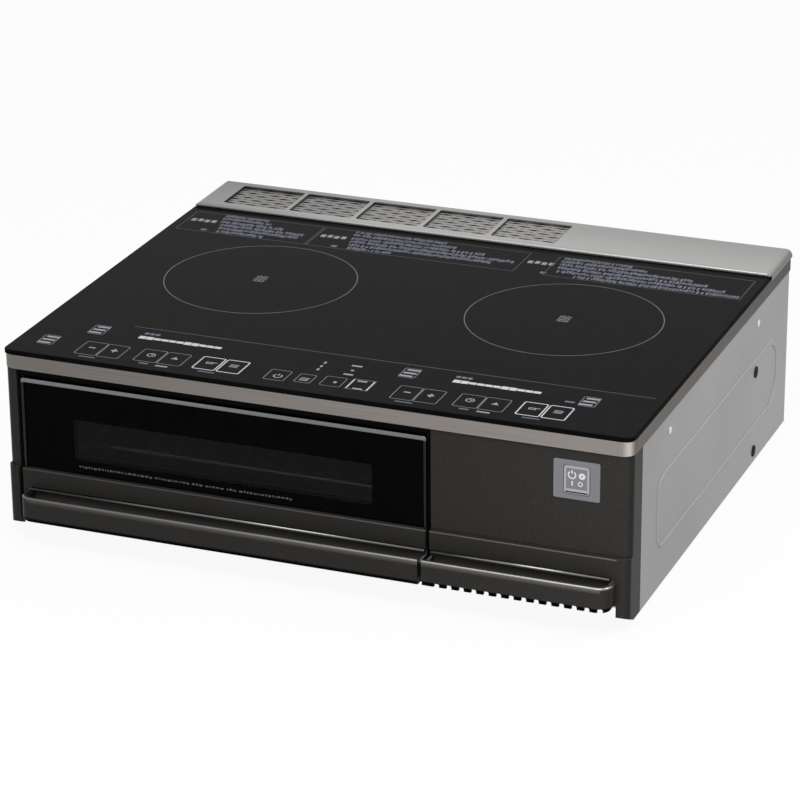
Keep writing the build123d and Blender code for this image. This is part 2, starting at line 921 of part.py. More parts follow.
# Slide channels on the cavity's walls, and the carrier that runs in them
channel_roof = channel_floor + channel_height
for name, wall, inward in (("slide_channel_left", cavity_left, 1), ("slide_channel_right", cavity_right, -1)):
    with BuildPart() as channel:
        with BuildSketch(Plane.XZ.offset(-front - channel_start)):
            with BuildLine():
                tip = wall + inward * channel_reach
                web = wall + inward * channel_sheet
                Polyline(
                    (wall, channel_floor),
                    (tip, channel_floor),
                    (tip, channel_floor + channel_sheet),
                    (web, channel_floor + channel_sheet),
                    (web, channel_roof - channel_sheet),
                    (tip, channel_roof - channel_sheet),
                    (tip, channel_roof),
                    (wall, channel_roof),
                    close=True,
                )
            make_face()
        extrude(amount=-(channel_end - channel_start))
    save(channel, name)

carrier_bottom = channel_floor + channel_sheet + running
carrier_top = carrier_bottom + carrier_height
carrier_ledge_top = carrier_bottom + carrier_sheet
carrier_half = cavity_width / 2 - channel_sheet - running
with BuildPart() as drawer_carrier:
    for side in (-1, 1):
        outer = cavity_middle + side * carrier_half
        web_limits = tuple(sorted((outer, outer - side * carrier_sheet)))
        ledge_limits = tuple(sorted((outer, outer - side * (carrier_sheet + carrier_ledge))))
        block(web_limits, (plate_back, front + carrier_end), (carrier_bottom, carrier_top))
        block(ledge_limits, (plate_back, front + carrier_end), (carrier_bottom, carrier_ledge_top))
    across = (cavity_middle - carrier_half, cavity_middle + carrier_half)
    for start in (plate_back, front + carrier_end - carrier_bar):
        block(across, (start, start + carrier_bar), (carrier_bottom, carrier_ledge_top))
save(drawer_carrier, "drawer_carrier")

# Drip tray with sloped walls and a flat rim that lies on the carrier's ledges
tray_half = carrier_half - carrier_sheet - tray_clearance
tray_front = plate_back + tray_clearance
tray_back = front + carrier_end - tray_clearance
tray_well = carrier_bar + tray_clearance
with BuildPart() as drip_tray:
    rim_bottom = carrier_ledge_top
    well_width = 2 * (carrier_half - carrier_sheet - carrier_ledge - tray_clearance)
    well_length = tray_back - tray_front - 2 * tray_well
    with BuildSketch(Plane.XY.offset(rim_bottom)):
        with Locations((cavity_middle, (tray_front + tray_back) / 2)):
            RectangleRounded(2 * tray_half, tray_back - tray_front, tray_corner)
    extrude(amount=tray_sheet)
    with BuildSketch(Plane.XY.offset(rim_bottom)):
        with Locations((cavity_middle, (tray_front + tray_back) / 2)):
            RectangleRounded(well_width, well_length, tray_corner)
    extrude(amount=-tray_depth, taper=tray_draft)
    with BuildSketch(Plane.XY.offset(rim_bottom + tray_sheet)):
        with Locations((cavity_middle, (tray_front + tray_back) / 2)):
            inner_well = [size - 2 * tray_sheet for size in (well_width, well_length)]
            RectangleRounded(*inner_well, tray_corner - tray_sheet)
    extrude(amount=-tray_depth, taper=tray_draft, mode=Mode.SUBTRACT)
save(drip_tray, "drip_tray")

# Grill rack: a rim wire on four legs, with thinner rods from front to back
rack_half = tray_half - rack_inset
rack_y = (front + rack_front, front + rack_rear)
leg_bottom = carrier_ledge_top + tray_sheet
rod_height = rack_height + (rack_wire_diameter + rack_rod_diameter) / 2 - rack_rod_diameter / 3
with BuildPart() as grill_rack:
    with BuildSketch(Plane.XY.offset(rack_height), mode=Mode.PRIVATE) as rim_plan:
        with Locations((cavity_middle, sum(rack_y) / 2)):
            RectangleRounded(2 * rack_half, rack_y[1] - rack_y[0], rack_corner)
    rim_path = rim_plan.sketch.face().outer_wire()
    with BuildSketch(Plane(origin=rim_path @ 0, z_dir=rim_path % 0)):
        RegularPolygon(rack_wire_diameter / 2, wire_sides)
    sweep(path=rim_path)
    with BuildSketch(Plane.XZ.offset(-rack_y[0])):
        with Locations((cavity_middle, rod_height)):
            with GridLocations(2 * rack_half / (rack_rod_count + 1), 1, rack_rod_count, 1):
                RegularPolygon(rack_rod_diameter / 2, wire_sides)
    extrude(amount=-(rack_y[1] - rack_y[0]))
    with BuildSketch(Plane.XY.offset(leg_bottom)):
        for x in (cavity_middle - rack_half, cavity_middle + rack_half):
            for y in (rack_y[0] + 2 * rack_corner, rack_y[1] - 2 * rack_corner):
                with Locations((x, y)):
                    RegularPolygon(rack_wire_diameter / 2, wire_sides)
    extrude(amount=rack_height - leg_bottom)
save(grill_rack, "grill_rack")


# Sheathed heaters above and below the food, held in bushings on the cavity's back
def heater(first, pitch, legs, height):
    """A heating rod that enters from the back and folds to and fro across the cavity."""
    y_tail = front + heater_tail
    points = [(first, y_tail, height)]
    for leg in range(legs):
        x = first + leg * pitch
        turns = (front + heater_front, front + heater_turn_back)
        if leg > 0:
            points.append((x, turns[0] if leg % 2 else turns[1], height))
        if leg < legs - 1:
            points.append((x, turns[0] if leg % 2 == 0 else turns[1], height))
    points.append((first + (legs - 1) * pitch, y_tail, height))
    bend = min(pitch / 2 - running, heater_bend)
    with BuildPart() as rod:
        with BuildLine():
            path = FilletPolyline(*points, radius=bend)
        with BuildSketch(Plane(origin=path @ 0, z_dir=path % 0)):
            RegularPolygon(heater_wire_diameter / 2, wire_sides)
        sweep()
    return rod


upper_heater = heater(upper_first, upper_pitch, upper_leg_count, upper_heater_height)
lower_heater = heater(lower_first, lower_pitch, lower_leg_count, lower_heater_height)
save(upper_heater, "upper_heater")
save(lower_heater, "lower_heater")

with BuildPart() as heater_bushings:
    with BuildSketch(Plane.XZ.offset(-front - cavity_back - sheet)):
        with Locations(*tail_places):
            RegularPolygon(bushing_diameter / 2, nut_sides)
            RegularPolygon(heater_wire_diameter / 2 + slip / 2, wire_sides, mode=Mode.SUBTRACT)
    extrude(amount=-bushing_length)
save(heater_bushings, "heater_bushings")

# Exhaust duct from the cavity's back up to the deck
deck_under = frame_top - flange_sheet
duct_start = front + cavity_back + sheet
with BuildPart() as exhaust_duct:
    duct_low = [(duct_left, duct_right), (duct_start, front + duct_rear), (duct_bottom, duct_shoulder)]
    duct_high = [
        (exhaust_left - sheet, exhaust_right + sheet),
        (front + duct_front - sheet, front + duct_rear),
        (duct_shoulder - sheet, deck_under),
    ]
    block(*duct_low)
    block(*duct_high)
    for limits in (duct_low, duct_high):
        inner = [(low + sheet, high - sheet) for low, high in limits]
        open_front = duct_start if limits is duct_low else inner[1][0]
        open_top = duct_shoulder - sheet if limits is duct_low else deck_under
        block(inner[0], (open_front, inner[1][1]), (inner[2][0], open_top), mode=Mode.SUBTRACT)
    block(
        (duct_left + sheet, duct_right - sheet),
        (front + duct_front, front + duct_rear - sheet),
        (duct_shoulder - 2 * sheet, duct_shoulder + sheet),
        mode=Mode.SUBTRACT,
    )
save(exhaust_duct, "exhaust_duct")

# Exhaust cover: a low folded cap with a row of windows over a slotted insert
cover_half = half_width + cover_overhang
glass_back = front + glass_length
pane_width = (exhaust_right - exhaust_left - (window_count - 1) * window_bar) / window_count
pane_pitch = pane_width + window_bar
exhaust_middle = ((exhaust_left + exhaust_right) / 2, front + (exhaust_front + exhaust_rear) / 2)
exhaust_length = exhaust_rear - exhaust_front


def cover_profile(shrink):
    """The cover seen from the front, with round upper corners, shrunk by a distance."""
    with BuildSketch(Plane.XZ.offset(-front - cover_front - shrink)) as profile:
        with Locations((0, (frame_top + cover_top - shrink) / 2)):
            Rectangle(2 * (cover_half - shrink), cover_top - shrink - frame_top)
        fillet(profile.vertices().group_by(Axis.Y)[-1], cover_end_round - shrink)
    return profile.sketch


cover_depth = rear - front - cover_front
with BuildPart() as exhaust_cover:
    with BuildSketch(Plane.YZ.offset(-cover_half)) as section:
        with BuildLine():
            Polyline(
                (front + cover_front, cover_top - cover_lip),
                (front + cover_front, cover_top),
                (rear, cover_top),
                (rear, frame_top),
                (glass_back + slip, frame_top),
                (glass_back + slip, cover_top - cover_lip),
                close=True,
            )
        make_face()
        fillet(section.vertices().group_by(Axis.Y)[-1], cover_round)
    extrude(amount=2 * cover_half)
    extrude(cover_profile(0), amount=-cover_depth, mode=Mode.INTERSECT)
    extrude(cover_profile(cover_sheet), amount=2 * cover_sheet - cover_depth, mode=Mode.SUBTRACT)
    with BuildSketch(Plane.XY.offset(cover_top)):
        with Locations(exhaust_middle):
            with GridLocations(pane_pitch, 1, window_count, 1):
                RectangleRounded(pane_width, exhaust_length, trim_round)
    extrude(amount=-cover_sheet, mode=Mode.SUBTRACT)
save(exhaust_cover, "exhaust_cover")

slot_pitch = exhaust_length / slot_count
insert_top = cover_top - cover_sheet
insert_size = (exhaust_right - exhaust_left + 2 * mesh_margin, exhaust_length + 2 * mesh_margin)
with BuildPart() as exhaust_mesh:
    for shrink, depth, mode in (
        (0, mesh_drop + mesh_thickness, Mode.ADD),
        (mesh_thickness, mesh_drop, Mode.SUBTRACT),
    ):
        with BuildSketch(Plane.XY.offset(insert_top)):
            with Locations(exhaust_middle):
                Rectangle(*[size - 2 * shrink for size in insert_size])
        extrude(amount=-depth, mode=mode)
    with BuildSketch(Plane.XY.offset(insert_top - mesh_drop)):
        with Locations(exhaust_middle):
            with GridLocations(pane_pitch, slot_pitch, window_count, slot_count):
                Rectangle(pane_width - 2 * mesh_margin, slot_width)
    extrude(amount=-mesh_thickness, mode=Mode.SUBTRACT)
save(exhaust_mesh, "exhaust_mesh")

# Coil support, and the two coils that sit on sprung posts under the glass
zone_centres = [(side * zone_spacing / 2, zone_y) for side in (-1, 1)]
ferrite_bottom = coil_base_height - ferrite_height
support_top = partition_top + sheet
with BuildPart() as coil_support:
    span = (-side_inner + sheet, side_inner - sheet)
    depth = (front + support_front, front + support_rear)
    block(span, depth, (partition_top, support_top))
    for side in (-1, 1):
        flange_x = tuple(sorted((side * side_inner, side * (side_inner - sheet))))
        block(flange_x, depth, (partition_top, support_top + support_flange))
    with BuildSketch(Plane.YZ.offset(-side_inner)):
        with Locations((front + screw_front, screw_height), (front + screw_rear, screw_height)):
            Circle(screw_shank / 2 + slip)
    extrude(amount=2 * side_inner, mode=Mode.SUBTRACT)
    with BuildSketch(Plane.XY.offset(partition_top)):
        with Locations(*zone_centres):
            Circle(winding_inner)
    extrude(amount=sheet, mode=Mode.SUBTRACT)
save(coil_support, "coil_support")

with BuildPart() as coil_posts:
    with BuildSketch(Plane.XY.offset(support_top)):
        for centre in zone_centres:
            with Locations(centre):
                with PolarLocations(post_circle_radius, post_count, start_angle=post_angle):
                    RegularPolygon(post_radius, wire_sides)
                    RegularPolygon(post_radius - spring_wall, wire_sides, mode=Mode.SUBTRACT)
    extrude(amount=coil_base_height - support_top)
save(coil_posts, "coil_springs")

for name, centre in zip(("left", "right"), zone_centres):
    with BuildPart() as coil_base:
        with BuildSketch(Plane.XY.offset(coil_base_height)):
            with Locations(centre):
                Circle(coil_base_radius)
                Circle(sensor_radius + slip, mode=Mode.SUBTRACT)
        extrude(amount=coil_base_thickness)
    save(coil_base, f"coil_base_{name}")
    with BuildPart() as winding:
        with BuildSketch(Plane.XY.offset(coil_base_height + coil_base_thickness)):
            with Locations(centre):
                Circle(winding_outer)
                Circle(winding_inner, mode=Mode.SUBTRACT)
        extrude(amount=winding_height)
        chamfer(winding.edges().group_by(Axis.Z)[-1], winding_round)
    save(winding, f"coil_winding_{name}")

with BuildPart() as ferrite_bars:
    with BuildSketch(Plane.XY.offset(ferrite_bottom)):
        for centre in zone_centres:
            with Locations(centre):
                with PolarLocations(ferrite_start_radius + ferrite_length / 2, ferrite_count):
                    Rectangle(ferrite_length, ferrite_width)
    extrude(amount=ferrite_height)
save(ferrite_bars, "ferrite_bars")

with BuildPart() as temperature_sensors:
    with BuildSketch(Plane.XY.offset(coil_base_height - sensor_depth)):
        with Locations(*zone_centres):
            Circle(sensor_radius)
    extrude(amount=glass_bottom - slip - coil_base_height + sensor_depth)
    with BuildSketch(Plane.XY.offset(coil_base_height - sensor_depth)):
        with Locations(*zone_centres):
            Circle(sensor_radius + sensor_depth)
    extrude(amount=sensor_depth)
save(temperature_sensors, "temperature_sensors")

# Touch controls: a shallow plastic tray with a board and sprung contacts under the glass
control_bottom = panel_top + slip
control_front = front + crossbar_setback + crossbar_depth + slip
control_limits = [
    (control_left, control_right),
    (control_front, front + control_rear),
]
board_bottom = control_bottom + control_floor + board_rise
with BuildPart() as control_tray:
    block(*control_limits, (control_bottom, control_bottom + control_height))
    inside = [(low + control_floor, high - control_floor) for low, high in control_limits]
    block(*inside, (control_bottom + control_floor, control_bottom + control_height), mode=Mode.SUBTRACT)
    with BuildSketch(Plane.XY.offset(control_bottom + control_floor)):
        with Locations(((control_left + control_right) / 2, (control_front + front + control_rear) / 2)):
            with GridLocations((control_right - control_left) / rib_count, 1, rib_count, 1):
                Rectangle(control_floor, control_rear - crossbar_setback - 2 * board_margin)
    extrude(amount=board_rise)
save(control_tray, "control_tray")

with BuildPart() as control_board:
    shrunk = [(low + board_margin / 2, high - board_margin / 2) for low, high in control_limits]
    block(*shrunk, (board_bottom, board_bottom + board_thickness))
save(control_board, "control_board")

with BuildPart() as touch_contacts:
    with BuildSketch(Plane.XY.offset(board_bottom + board_thickness)):
        for group in contact_groups:
            with Locations((group, front + contact_setback)):
                with GridLocations(contact_pitch, 1, 2, 1):
                    Rectangle(contact_width, contact_width)
    extrude(amount=glass_bottom - board_bottom - board_thickness)
save(touch_contacts, "touch_contacts")

# Power electronics on standoffs in the right compartment
inverter_centre = ((inverter_left + inverter_right) / 2, front + (inverter_front + inverter_rear) / 2)
inverter_size = (inverter_right - inverter_left, inverter_rear - inverter_front)
inverter_top = inverter_height + board_thickness
with BuildPart() as inverter_board:
    with BuildSketch(Plane.XY.offset(inverter_height)):
        with Locations(inverter_centre):
            Rectangle(*inverter_size)
    extrude(amount=board_thickness)
save(inverter_board, "inverter_board")

with BuildPart() as board_standoffs:
    with BuildSketch(Plane.XY.offset(pan_top)):
        with Locations(inverter_centre):
            with GridLocations(*[size - 2 * standoff_margin for size in inverter_size], 2, 2):
                RegularPolygon(standoff_radius, nut_sides)
    extrude(amount=inverter_height - pan_top)
save(board_standoffs, "board_standoffs")

with BuildPart() as heat_sink:
    with BuildSketch(Plane.XZ.offset(-front - sink_front)):
        with Locations((sink_left + sink_width / 2, inverter_top + sink_base / 2)):
            Rectangle(sink_width, sink_base)
        with Locations((sink_left + sink_width / 2, inverter_top + (sink_base + sink_height) / 2)):
            with GridLocations((sink_width - fin_thickness) / (sink_fins - 1), 1, sink_fins, 1):
                Rectangle(fin_thickness, sink_height - sink_base)
    extrude(amount=-sink_length)
save(heat_sink, "heat_sink")

with BuildPart() as filter_capacitors:
    with BuildSketch(Plane.XY.offset(inverter_top)):
        for index in range(capacitor_count):
            with Locations((capacitor_place, front + capacitor_front + index * capacitor_pitch)):
                Circle(capacitor_radius)
    extrude(amount=capacitor_height)
    chamfer(filter_capacitors.edges().group_by(Axis.Z)[-1], capacitor_round)
save(filter_capacitors, "filter_capacitors")

# Cooling fan: a scroll that stands on the pan's slots, its bladed rotor and the motor on top
fan_centre = (fan_place, fan_y)
fan_top = pan_top + fan_height
with BuildPart() as fan_housing:
    with BuildSketch(Plane.XY.offset(pan_top)) as scroll:
        with Locations(fan_centre):
            Circle(fan_radius)
        with Locations((fan_place - fan_radius + outlet_width / 2, fan_y - (fan_radius + outlet_length) / 2)):
            Rectangle(outlet_width, fan_radius + outlet_length)
    extrude(amount=fan_height)
    with BuildSketch(Plane.XY.offset(pan_top + fan_wall)):
        with Locations(fan_centre):
            Circle(fan_radius - fan_wall)
        with Locations((fan_place - fan_radius + outlet_width / 2, fan_y - (fan_radius + outlet_length) / 2)):
            Rectangle(outlet_width - 2 * fan_wall, fan_radius + outlet_length)
    extrude(amount=fan_height - 2 * fan_wall, mode=Mode.SUBTRACT)
    with BuildSketch(Plane.XY.offset(pan_top)):
        with Locations(fan_centre):
            Circle(fan_inlet)
    extrude(amount=fan_wall, mode=Mode.SUBTRACT)
    with BuildSketch(Plane.XY.offset(fan_top - fan_wall)):
        with Locations(fan_centre):
            Circle(shaft_radius + 2 * slip)
    extrude(amount=fan_wall, mode=Mode.SUBTRACT)
save(fan_housing, "fan_housing")

with BuildPart() as fan_rotor:
    with BuildSketch(Plane.XY.offset(rotor_top - hub_plate)):
        with Locations(fan_centre):
            Circle(rotor_radius)
    extrude(amount=hub_plate)
    with BuildSketch(Plane.XY.offset(rotor_bottom)):
        with Locations(fan_centre):
            with PolarLocations(rotor_radius - blade_length / 2, blade_count):
                Rectangle(blade_length, blade_thickness, rotation=blade_angle)
    extrude(amount=rotor_top - hub_plate - rotor_bottom)
    with BuildSketch(Plane.XY.offset(rotor_bottom)):
        with Locations(fan_centre):
            Circle(rotor_radius)
            Circle(rotor_radius - blade_length, mode=Mode.SUBTRACT)
    extrude(amount=hub_plate)
    with BuildSketch(Plane.XY.offset(rotor_bottom + 2 * hub_plate)):
        with Locations(fan_centre):
            Circle(hub_radius)
    extrude(amount=rotor_top - rotor_bottom - 2 * hub_plate)
    with BuildSketch(Plane.XY.offset(rotor_bottom)):
        with Locations(fan_centre):
            Circle(shaft_radius + shaft_fit)
    extrude(amount=rotor_top - rotor_bottom, mode=Mode.SUBTRACT)
save(fan_rotor, "fan_rotor")

with BuildPart() as fan_motor:
    with BuildSketch(Plane.XY.offset(fan_top)):
        with Locations(fan_centre):
            Circle(motor_radius)
    extrude(amount=motor_height)
    chamfer(fan_motor.edges().filter_by(GeomType.CIRCLE).group_by(Axis.Z)[-1], motor_chamfer)
    with BuildSketch(Plane.XY.offset(rotor_bottom + 2 * hub_plate)):
        with Locations(fan_centre):
            Circle(shaft_radius)
    extrude(amount=fan_top - rotor_bottom - 2 * hub_plate)
save(fan_motor, "fan_motor")

# Mains gland in the rear panel and the terminal block beside the fan
with BuildPart() as cord_gland:
    with BuildSketch(Plane.XZ.offset(-rear)):
        with Locations((gland_place, gland_height)):
            Circle(gland_flange)
    extrude(amount=rear_inset)
    with BuildSketch(Plane.XZ.offset(-rear)):
        with Locations((gland_place, gland_height)):
            Circle(gland_radius)
    extrude(amount=gland_length)
    with BuildSketch(Plane.XZ.offset(-rear)):
        with Locations((gland_place, gland_height)):
            Circle(gland_radius / 2)
    extrude(amount=gland_length, mode=Mode.SUBTRACT)
save(cord_gland, "cord_gland")

with BuildPart() as terminal_block:
    terminal_centre = (gland_place, front + terminal_setback)
    with BuildSketch(Plane.XY.offset(pan_top)):
        with Locations(terminal_centre):
            Rectangle(terminal_width, terminal_depth)
    extrude(amount=terminal_height)
    with BuildSketch(Plane.XY.offset(pan_top + terminal_height)):
        with Locations(terminal_centre):
            with GridLocations(terminal_width / terminal_ways, 1, terminal_ways, 1):
                Circle(terminal_hole)
    extrude(amount=-terminal_hole_depth, mode=Mode.SUBTRACT)
save(terminal_block, "terminal_block")

# Power switch: bezel, moving key, spring and the switch body that the bezel's arms hold
plate_centre = ((plate_left + plate_right) / 2, (plate_bottom + plate_top) / 2)
plate_height = plate_top - plate_bottom
plate_front = front + panel_face - plate_proud
key_front = front + panel_face - key_proud
key_back = key_front + key_depth
switch_front = front + switch_setback
with BuildPart() as switch_bezel:
    with BuildSketch(Plane.XZ.offset(-plate_front)):
        with Locations(plate_centre):
            RectangleRounded(plate_width, plate_height, plate_corner)
    extrude(amount=-plate_proud)
    with BuildSketch(Plane.XZ.offset(-front - panel_face)):
        with Locations(plate_centre):
            body_size = [size - 2 * (plate_lap_width + slip) for size in (plate_width, plate_height)]
            Rectangle(*body_size)
    extrude(amount=-(panel_thickness + moulding_wall))
    for side in (-1, 1):
        arm = plate_centre[0] + side * switch_width / 2
        block(
            tuple(sorted((arm, arm + side * arm_thickness))),
            (front + panel_back, switch_front + arm_length),
            (plate_centre[1] - key_height / 3, plate_centre[1] + key_height / 3),
        )
    with BuildSketch(Plane.XZ.offset(-plate_front)):
        with Locations(plate_centre):
            RectangleRounded(key_width + 2 * key_gap, key_height + 2 * key_gap, key_corner + key_gap)
    extrude(amount=-(plate_proud + panel_thickness + moulding_wall), mode=Mode.SUBTRACT)
save(switch_bezel, "switch_bezel")

with BuildPart() as power_key:
    with BuildSketch(Plane.XZ.offset(-key_front)):
        with Locations(plate_centre):
            RectangleRounded(key_width, key_height, key_corner)
    extrude(amount=-key_depth)
    chamfer(power_key.faces().sort_by(Axis.Y)[0].edges(), key_chamfer)
    with BuildSketch(Plane.XZ.offset(-key_back)):
        with Locations(plate_centre):
            Circle(stem_radius)
    extrude(amount=-stem_length)
save(power_key, "power_key")

with BuildPart() as power_switch:
    with BuildSketch(Plane.XZ.offset(-switch_front)):
        with Locations(plate_centre):
            Rectangle(switch_width, switch_height)
    extrude(amount=-switch_depth)
    with BuildSketch(Plane.XZ.offset(-switch_front)):
        with Locations(plate_centre):
            Circle(stem_radius + running)
    extrude(amount=-(key_back + stem_length + key_travel + 1 - switch_front), mode=Mode.SUBTRACT)
save(power_switch, "power_switch")

with BuildPart() as button_spring:
    with BuildSketch(Plane.XZ.offset(-switch_front)):
        with Locations(plate_centre):
            Circle(stem_radius + running + spring_wall)
            Circle(stem_radius + running, mode=Mode.SUBTRACT)
    extrude(amount=switch_front - key_back - key_travel - slip)
save(button_spring, "button_spring")
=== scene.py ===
"""Dresses the CAD pieces of a low cooker with a slide-out grill: finishes, printed marks, a few
added pieces, camera, floor and light. Lengths are metres, and printed marks are laid out in
millimetres.
"""
import math

import bmesh
import bpy
from mathutils import Matrix, Vector


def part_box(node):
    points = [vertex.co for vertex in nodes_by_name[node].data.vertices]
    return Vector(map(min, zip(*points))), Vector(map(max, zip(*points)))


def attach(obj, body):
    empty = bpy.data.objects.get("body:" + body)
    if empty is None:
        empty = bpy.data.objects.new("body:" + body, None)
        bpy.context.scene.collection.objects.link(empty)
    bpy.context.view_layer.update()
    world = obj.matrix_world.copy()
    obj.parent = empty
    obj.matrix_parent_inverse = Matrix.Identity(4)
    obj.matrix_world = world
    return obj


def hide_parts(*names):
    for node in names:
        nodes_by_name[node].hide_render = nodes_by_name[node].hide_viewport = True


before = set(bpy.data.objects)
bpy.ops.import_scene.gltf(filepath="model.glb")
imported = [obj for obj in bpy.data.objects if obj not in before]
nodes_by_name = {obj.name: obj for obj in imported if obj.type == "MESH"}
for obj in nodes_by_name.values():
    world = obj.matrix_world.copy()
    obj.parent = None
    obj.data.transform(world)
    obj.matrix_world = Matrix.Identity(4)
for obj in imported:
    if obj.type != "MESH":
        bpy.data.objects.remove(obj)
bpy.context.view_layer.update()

MM = 0.001
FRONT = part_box("top_frame")[0].y  # front face of the brushed frame
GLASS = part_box("glass_top")[1].z  # top of the glass plate
PANEL = FRONT + 0.0015  # outer face of the door glass
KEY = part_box("power_key")[0].y  # front face of the power key


def added(name, data):
    """A new object in the scene."""
    thing = bpy.data.objects.new(name, data)
    bpy.context.scene.collection.objects.link(thing)
    return thing


# Camera, solved from the photograph's edges
AZIMUTH, ELEVATION, ROLL = math.radians(21.68), math.radians(22.31), math.radians(-0.46)
CAMERA_PLACE = (1.122241, -2.837381, 1.336484)
FOCAL_PIXELS, PICTURE_PIXELS, SENSOR_MM = 3506.666, 800, 36
SIGHT = 60  # how far the camera sees


def make_camera():
    """The camera at the photograph's place, direction, roll and focal length."""
    back = Vector((
        math.sin(AZIMUTH) * math.cos(ELEVATION),
        -math.cos(AZIMUTH) * math.cos(ELEVATION),
        math.sin(ELEVATION),
    ))
    right = (-back).cross(Vector((0, 0, 1))).normalized()
    up = right.cross(-back)
    turned_right = math.cos(ROLL) * right + math.sin(ROLL) * up
    turned_up = -math.sin(ROLL) * right + math.cos(ROLL) * up
    place = Matrix((turned_right, turned_up, back)).transposed().to_4x4()
    place.translation = Vector(CAMERA_PLACE)
    data = bpy.data.cameras.new("camera")
    data.sensor_width = SENSOR_MM
    data.lens = FOCAL_PIXELS / PICTURE_PIXELS * SENSOR_MM
    data.clip_end = SIGHT
    camera = added("camera", data)
    camera.matrix_world = place
    bpy.context.scene.camera = camera


make_camera()

# Node trees
EVEN = (1, 1, 1)
WHITE = (1, 1, 1, 1)
NOISE_SPAN = (0.3, 0.7)  # where most of a noise's values lie
BROAD_SCALE = 9  # noise scale of the slow wander in roughness
SIDEWAYS = 0.7  # a face looks sideways where its direction has more X than this
MASK_EDGE = 0.0005  # width of a mask's soft edge
BUMP_DEPTH = 0.0002
COAT_ROUGHNESS = 0.1


class Tree:
    """A node tree, with short ways to add values, colours and shaders to it."""

    def __init__(self, tree):
        self.nodes, self.links = tree.nodes, tree.links

    def give(self, node, inputs):
        """Links some inputs of a node, or sets them where the value is a constant."""
        for slot, value in inputs.items():
            if isinstance(value, bpy.types.NodeSocket):
                self.links.new(value, node.inputs[slot])
            else:
                node.inputs[slot].default_value = value
        return node

    def add(self, kind, inputs):
        """A new node with some of its inputs given."""
        return self.give(self.nodes.new("ShaderNode" + kind), inputs)

    def math(self, kind, *values):
        """One operation on one or two values, or on more of them in turn."""
        if len(values) > 2:
            values = (self.math(kind, *values[:-1]), values[-1])
        node = self.nodes.new("ShaderNodeMath")
        node.operation = kind
        return self.give(node, dict(enumerate(values))).outputs[0]

    def mix(self, factor, first, second, kind="MIX", data_type="RGBA"):
        """Two colours or vectors, mixed or multiplied."""
        node = self.nodes.new("ShaderNodeMix")
        node.data_type, node.blend_type = data_type, kind
        return self.give(node, {"Factor": factor, "A": first, "B": second}).outputs["Result"]

    def mix_shaders(self, factor, first, second):
        """Two shaders, mixed."""
        return self.add("MixShader", {0: factor, 1: first.outputs[0], 2: second.outputs[0]})

    def parts(self, vector):
        """The X, Y and Z of a vector."""
        return self.add("SeparateXYZ", {0: vector}).outputs

    def place(self):
        """Where a point lies, in the object's own coordinates."""
        return self.parts(self.nodes.new("ShaderNodeTexCoord").outputs["Object"])

    def lean(self):
        """The direction that the surface faces."""
        return self.parts(self.nodes.new("ShaderNodeNewGeometry").outputs["Normal"])

    def slope(self):
        """High where the surface faces up or forward, low where it faces down or back."""
        lean = self.lean()
        return self.math("SUBTRACT", lean["Z"], lean["Y"])

    def ranged(self, value, span, result):
        """A value mapped from one span to another, and held at its ends."""
        return self.add("MapRange", {
            "Value": value, "From Min": span[0], "From Max": span[1],
            "To Min": result[0], "To Max": result[1],
        }).outputs["Result"]

    def hump(self, value, start, full, fade, end):
        """One between full and fade, nought outside start and end."""
        rise = self.ranged(value, (start, full), (0, 1))
        return self.math("MULTIPLY", rise, self.ranged(value, (fade, end), (1, 0)))

    def within(self, value, low, high):
        """One between two limits, with a soft edge outside them."""
        return self.hump(value, low - MASK_EDGE, low, high, high + MASK_EDGE)

    def noise(self, scale, stretch=EVEN, turned=None, detail=3.0):
        """Noise in the object's own coordinates, stretched. The other stretch, turned, serves the
        faces that look sideways."""
        coord = self.nodes.new("ShaderNodeTexCoord").outputs["Object"]
        source = self.add("Mapping", {"Vector": coord, "Scale": stretch}).outputs["Vector"]
        if turned:
            other = self.add("Mapping", {"Vector": coord, "Scale": turned}).outputs["Vector"]
            size = self.math("ABSOLUTE", self.lean()["X"])
            source = self.mix(self.math("GREATER_THAN", size, SIDEWAYS), source, other,
                              data_type="VECTOR")
        return self.add("TexNoise", {
            "Vector": source, "Scale": scale, "Detail": detail,
        }).outputs["Fac"]

    def toned(self, noise, colour, vary):
        """A colour that wanders between a darker and a lighter tone with a noise."""
        darker = [c * (1 - vary) for c in colour] + [1]
        lighter = [min(c * (1 + vary), 1) for c in colour] + [1]
        return self.mix(self.ranged(noise, NOISE_SPAN, (0, 1)), darker, lighter)

    def seen_ray(self):
        """One for camera, glossy and transmission rays, nought for the rest."""
        path = self.nodes.new("ShaderNodeLightPath").outputs
        return self.math("MAXIMUM", path["Is Camera Ray"], path["Is Glossy Ray"],
                         path["Is Transmission Ray"])


class Look(Tree):
    """A material and its main shader."""

    def __init__(self, name):
        self.material = bpy.data.materials.new(name)
        self.material.use_nodes = True
        super().__init__(self.material.node_tree)
        self.shader = self.nodes["Principled BSDF"]

    def shade(self, inputs):
        """Gives some inputs of the main shader."""
        self.give(self.shader, inputs)

    def level(self):
        """The main shader's specular level."""
        return self.shader.inputs["Specular IOR Level"].default_value

    def blend_in(self, factor, colour, kind="MIX"):
        """Mixes the main shader's colour with another."""
        so_far = self.shader.inputs["Base Color"].links[0].from_socket
        self.shade({"Base Color": self.mix(factor, so_far, colour, kind)})

    def times(self, *factors):
        """Multiplies the main shader's colour by one or more values."""
        factor = self.math("MULTIPLY", *factors) if len(factors) > 1 else factors[0]
        self.blend_in(1, factor, "MULTIPLY")

    def surface(self, shader):
        """Puts another shader in the main one's place."""
        self.links.new(shader.outputs[0], self.nodes["Material Output"].inputs["Surface"])


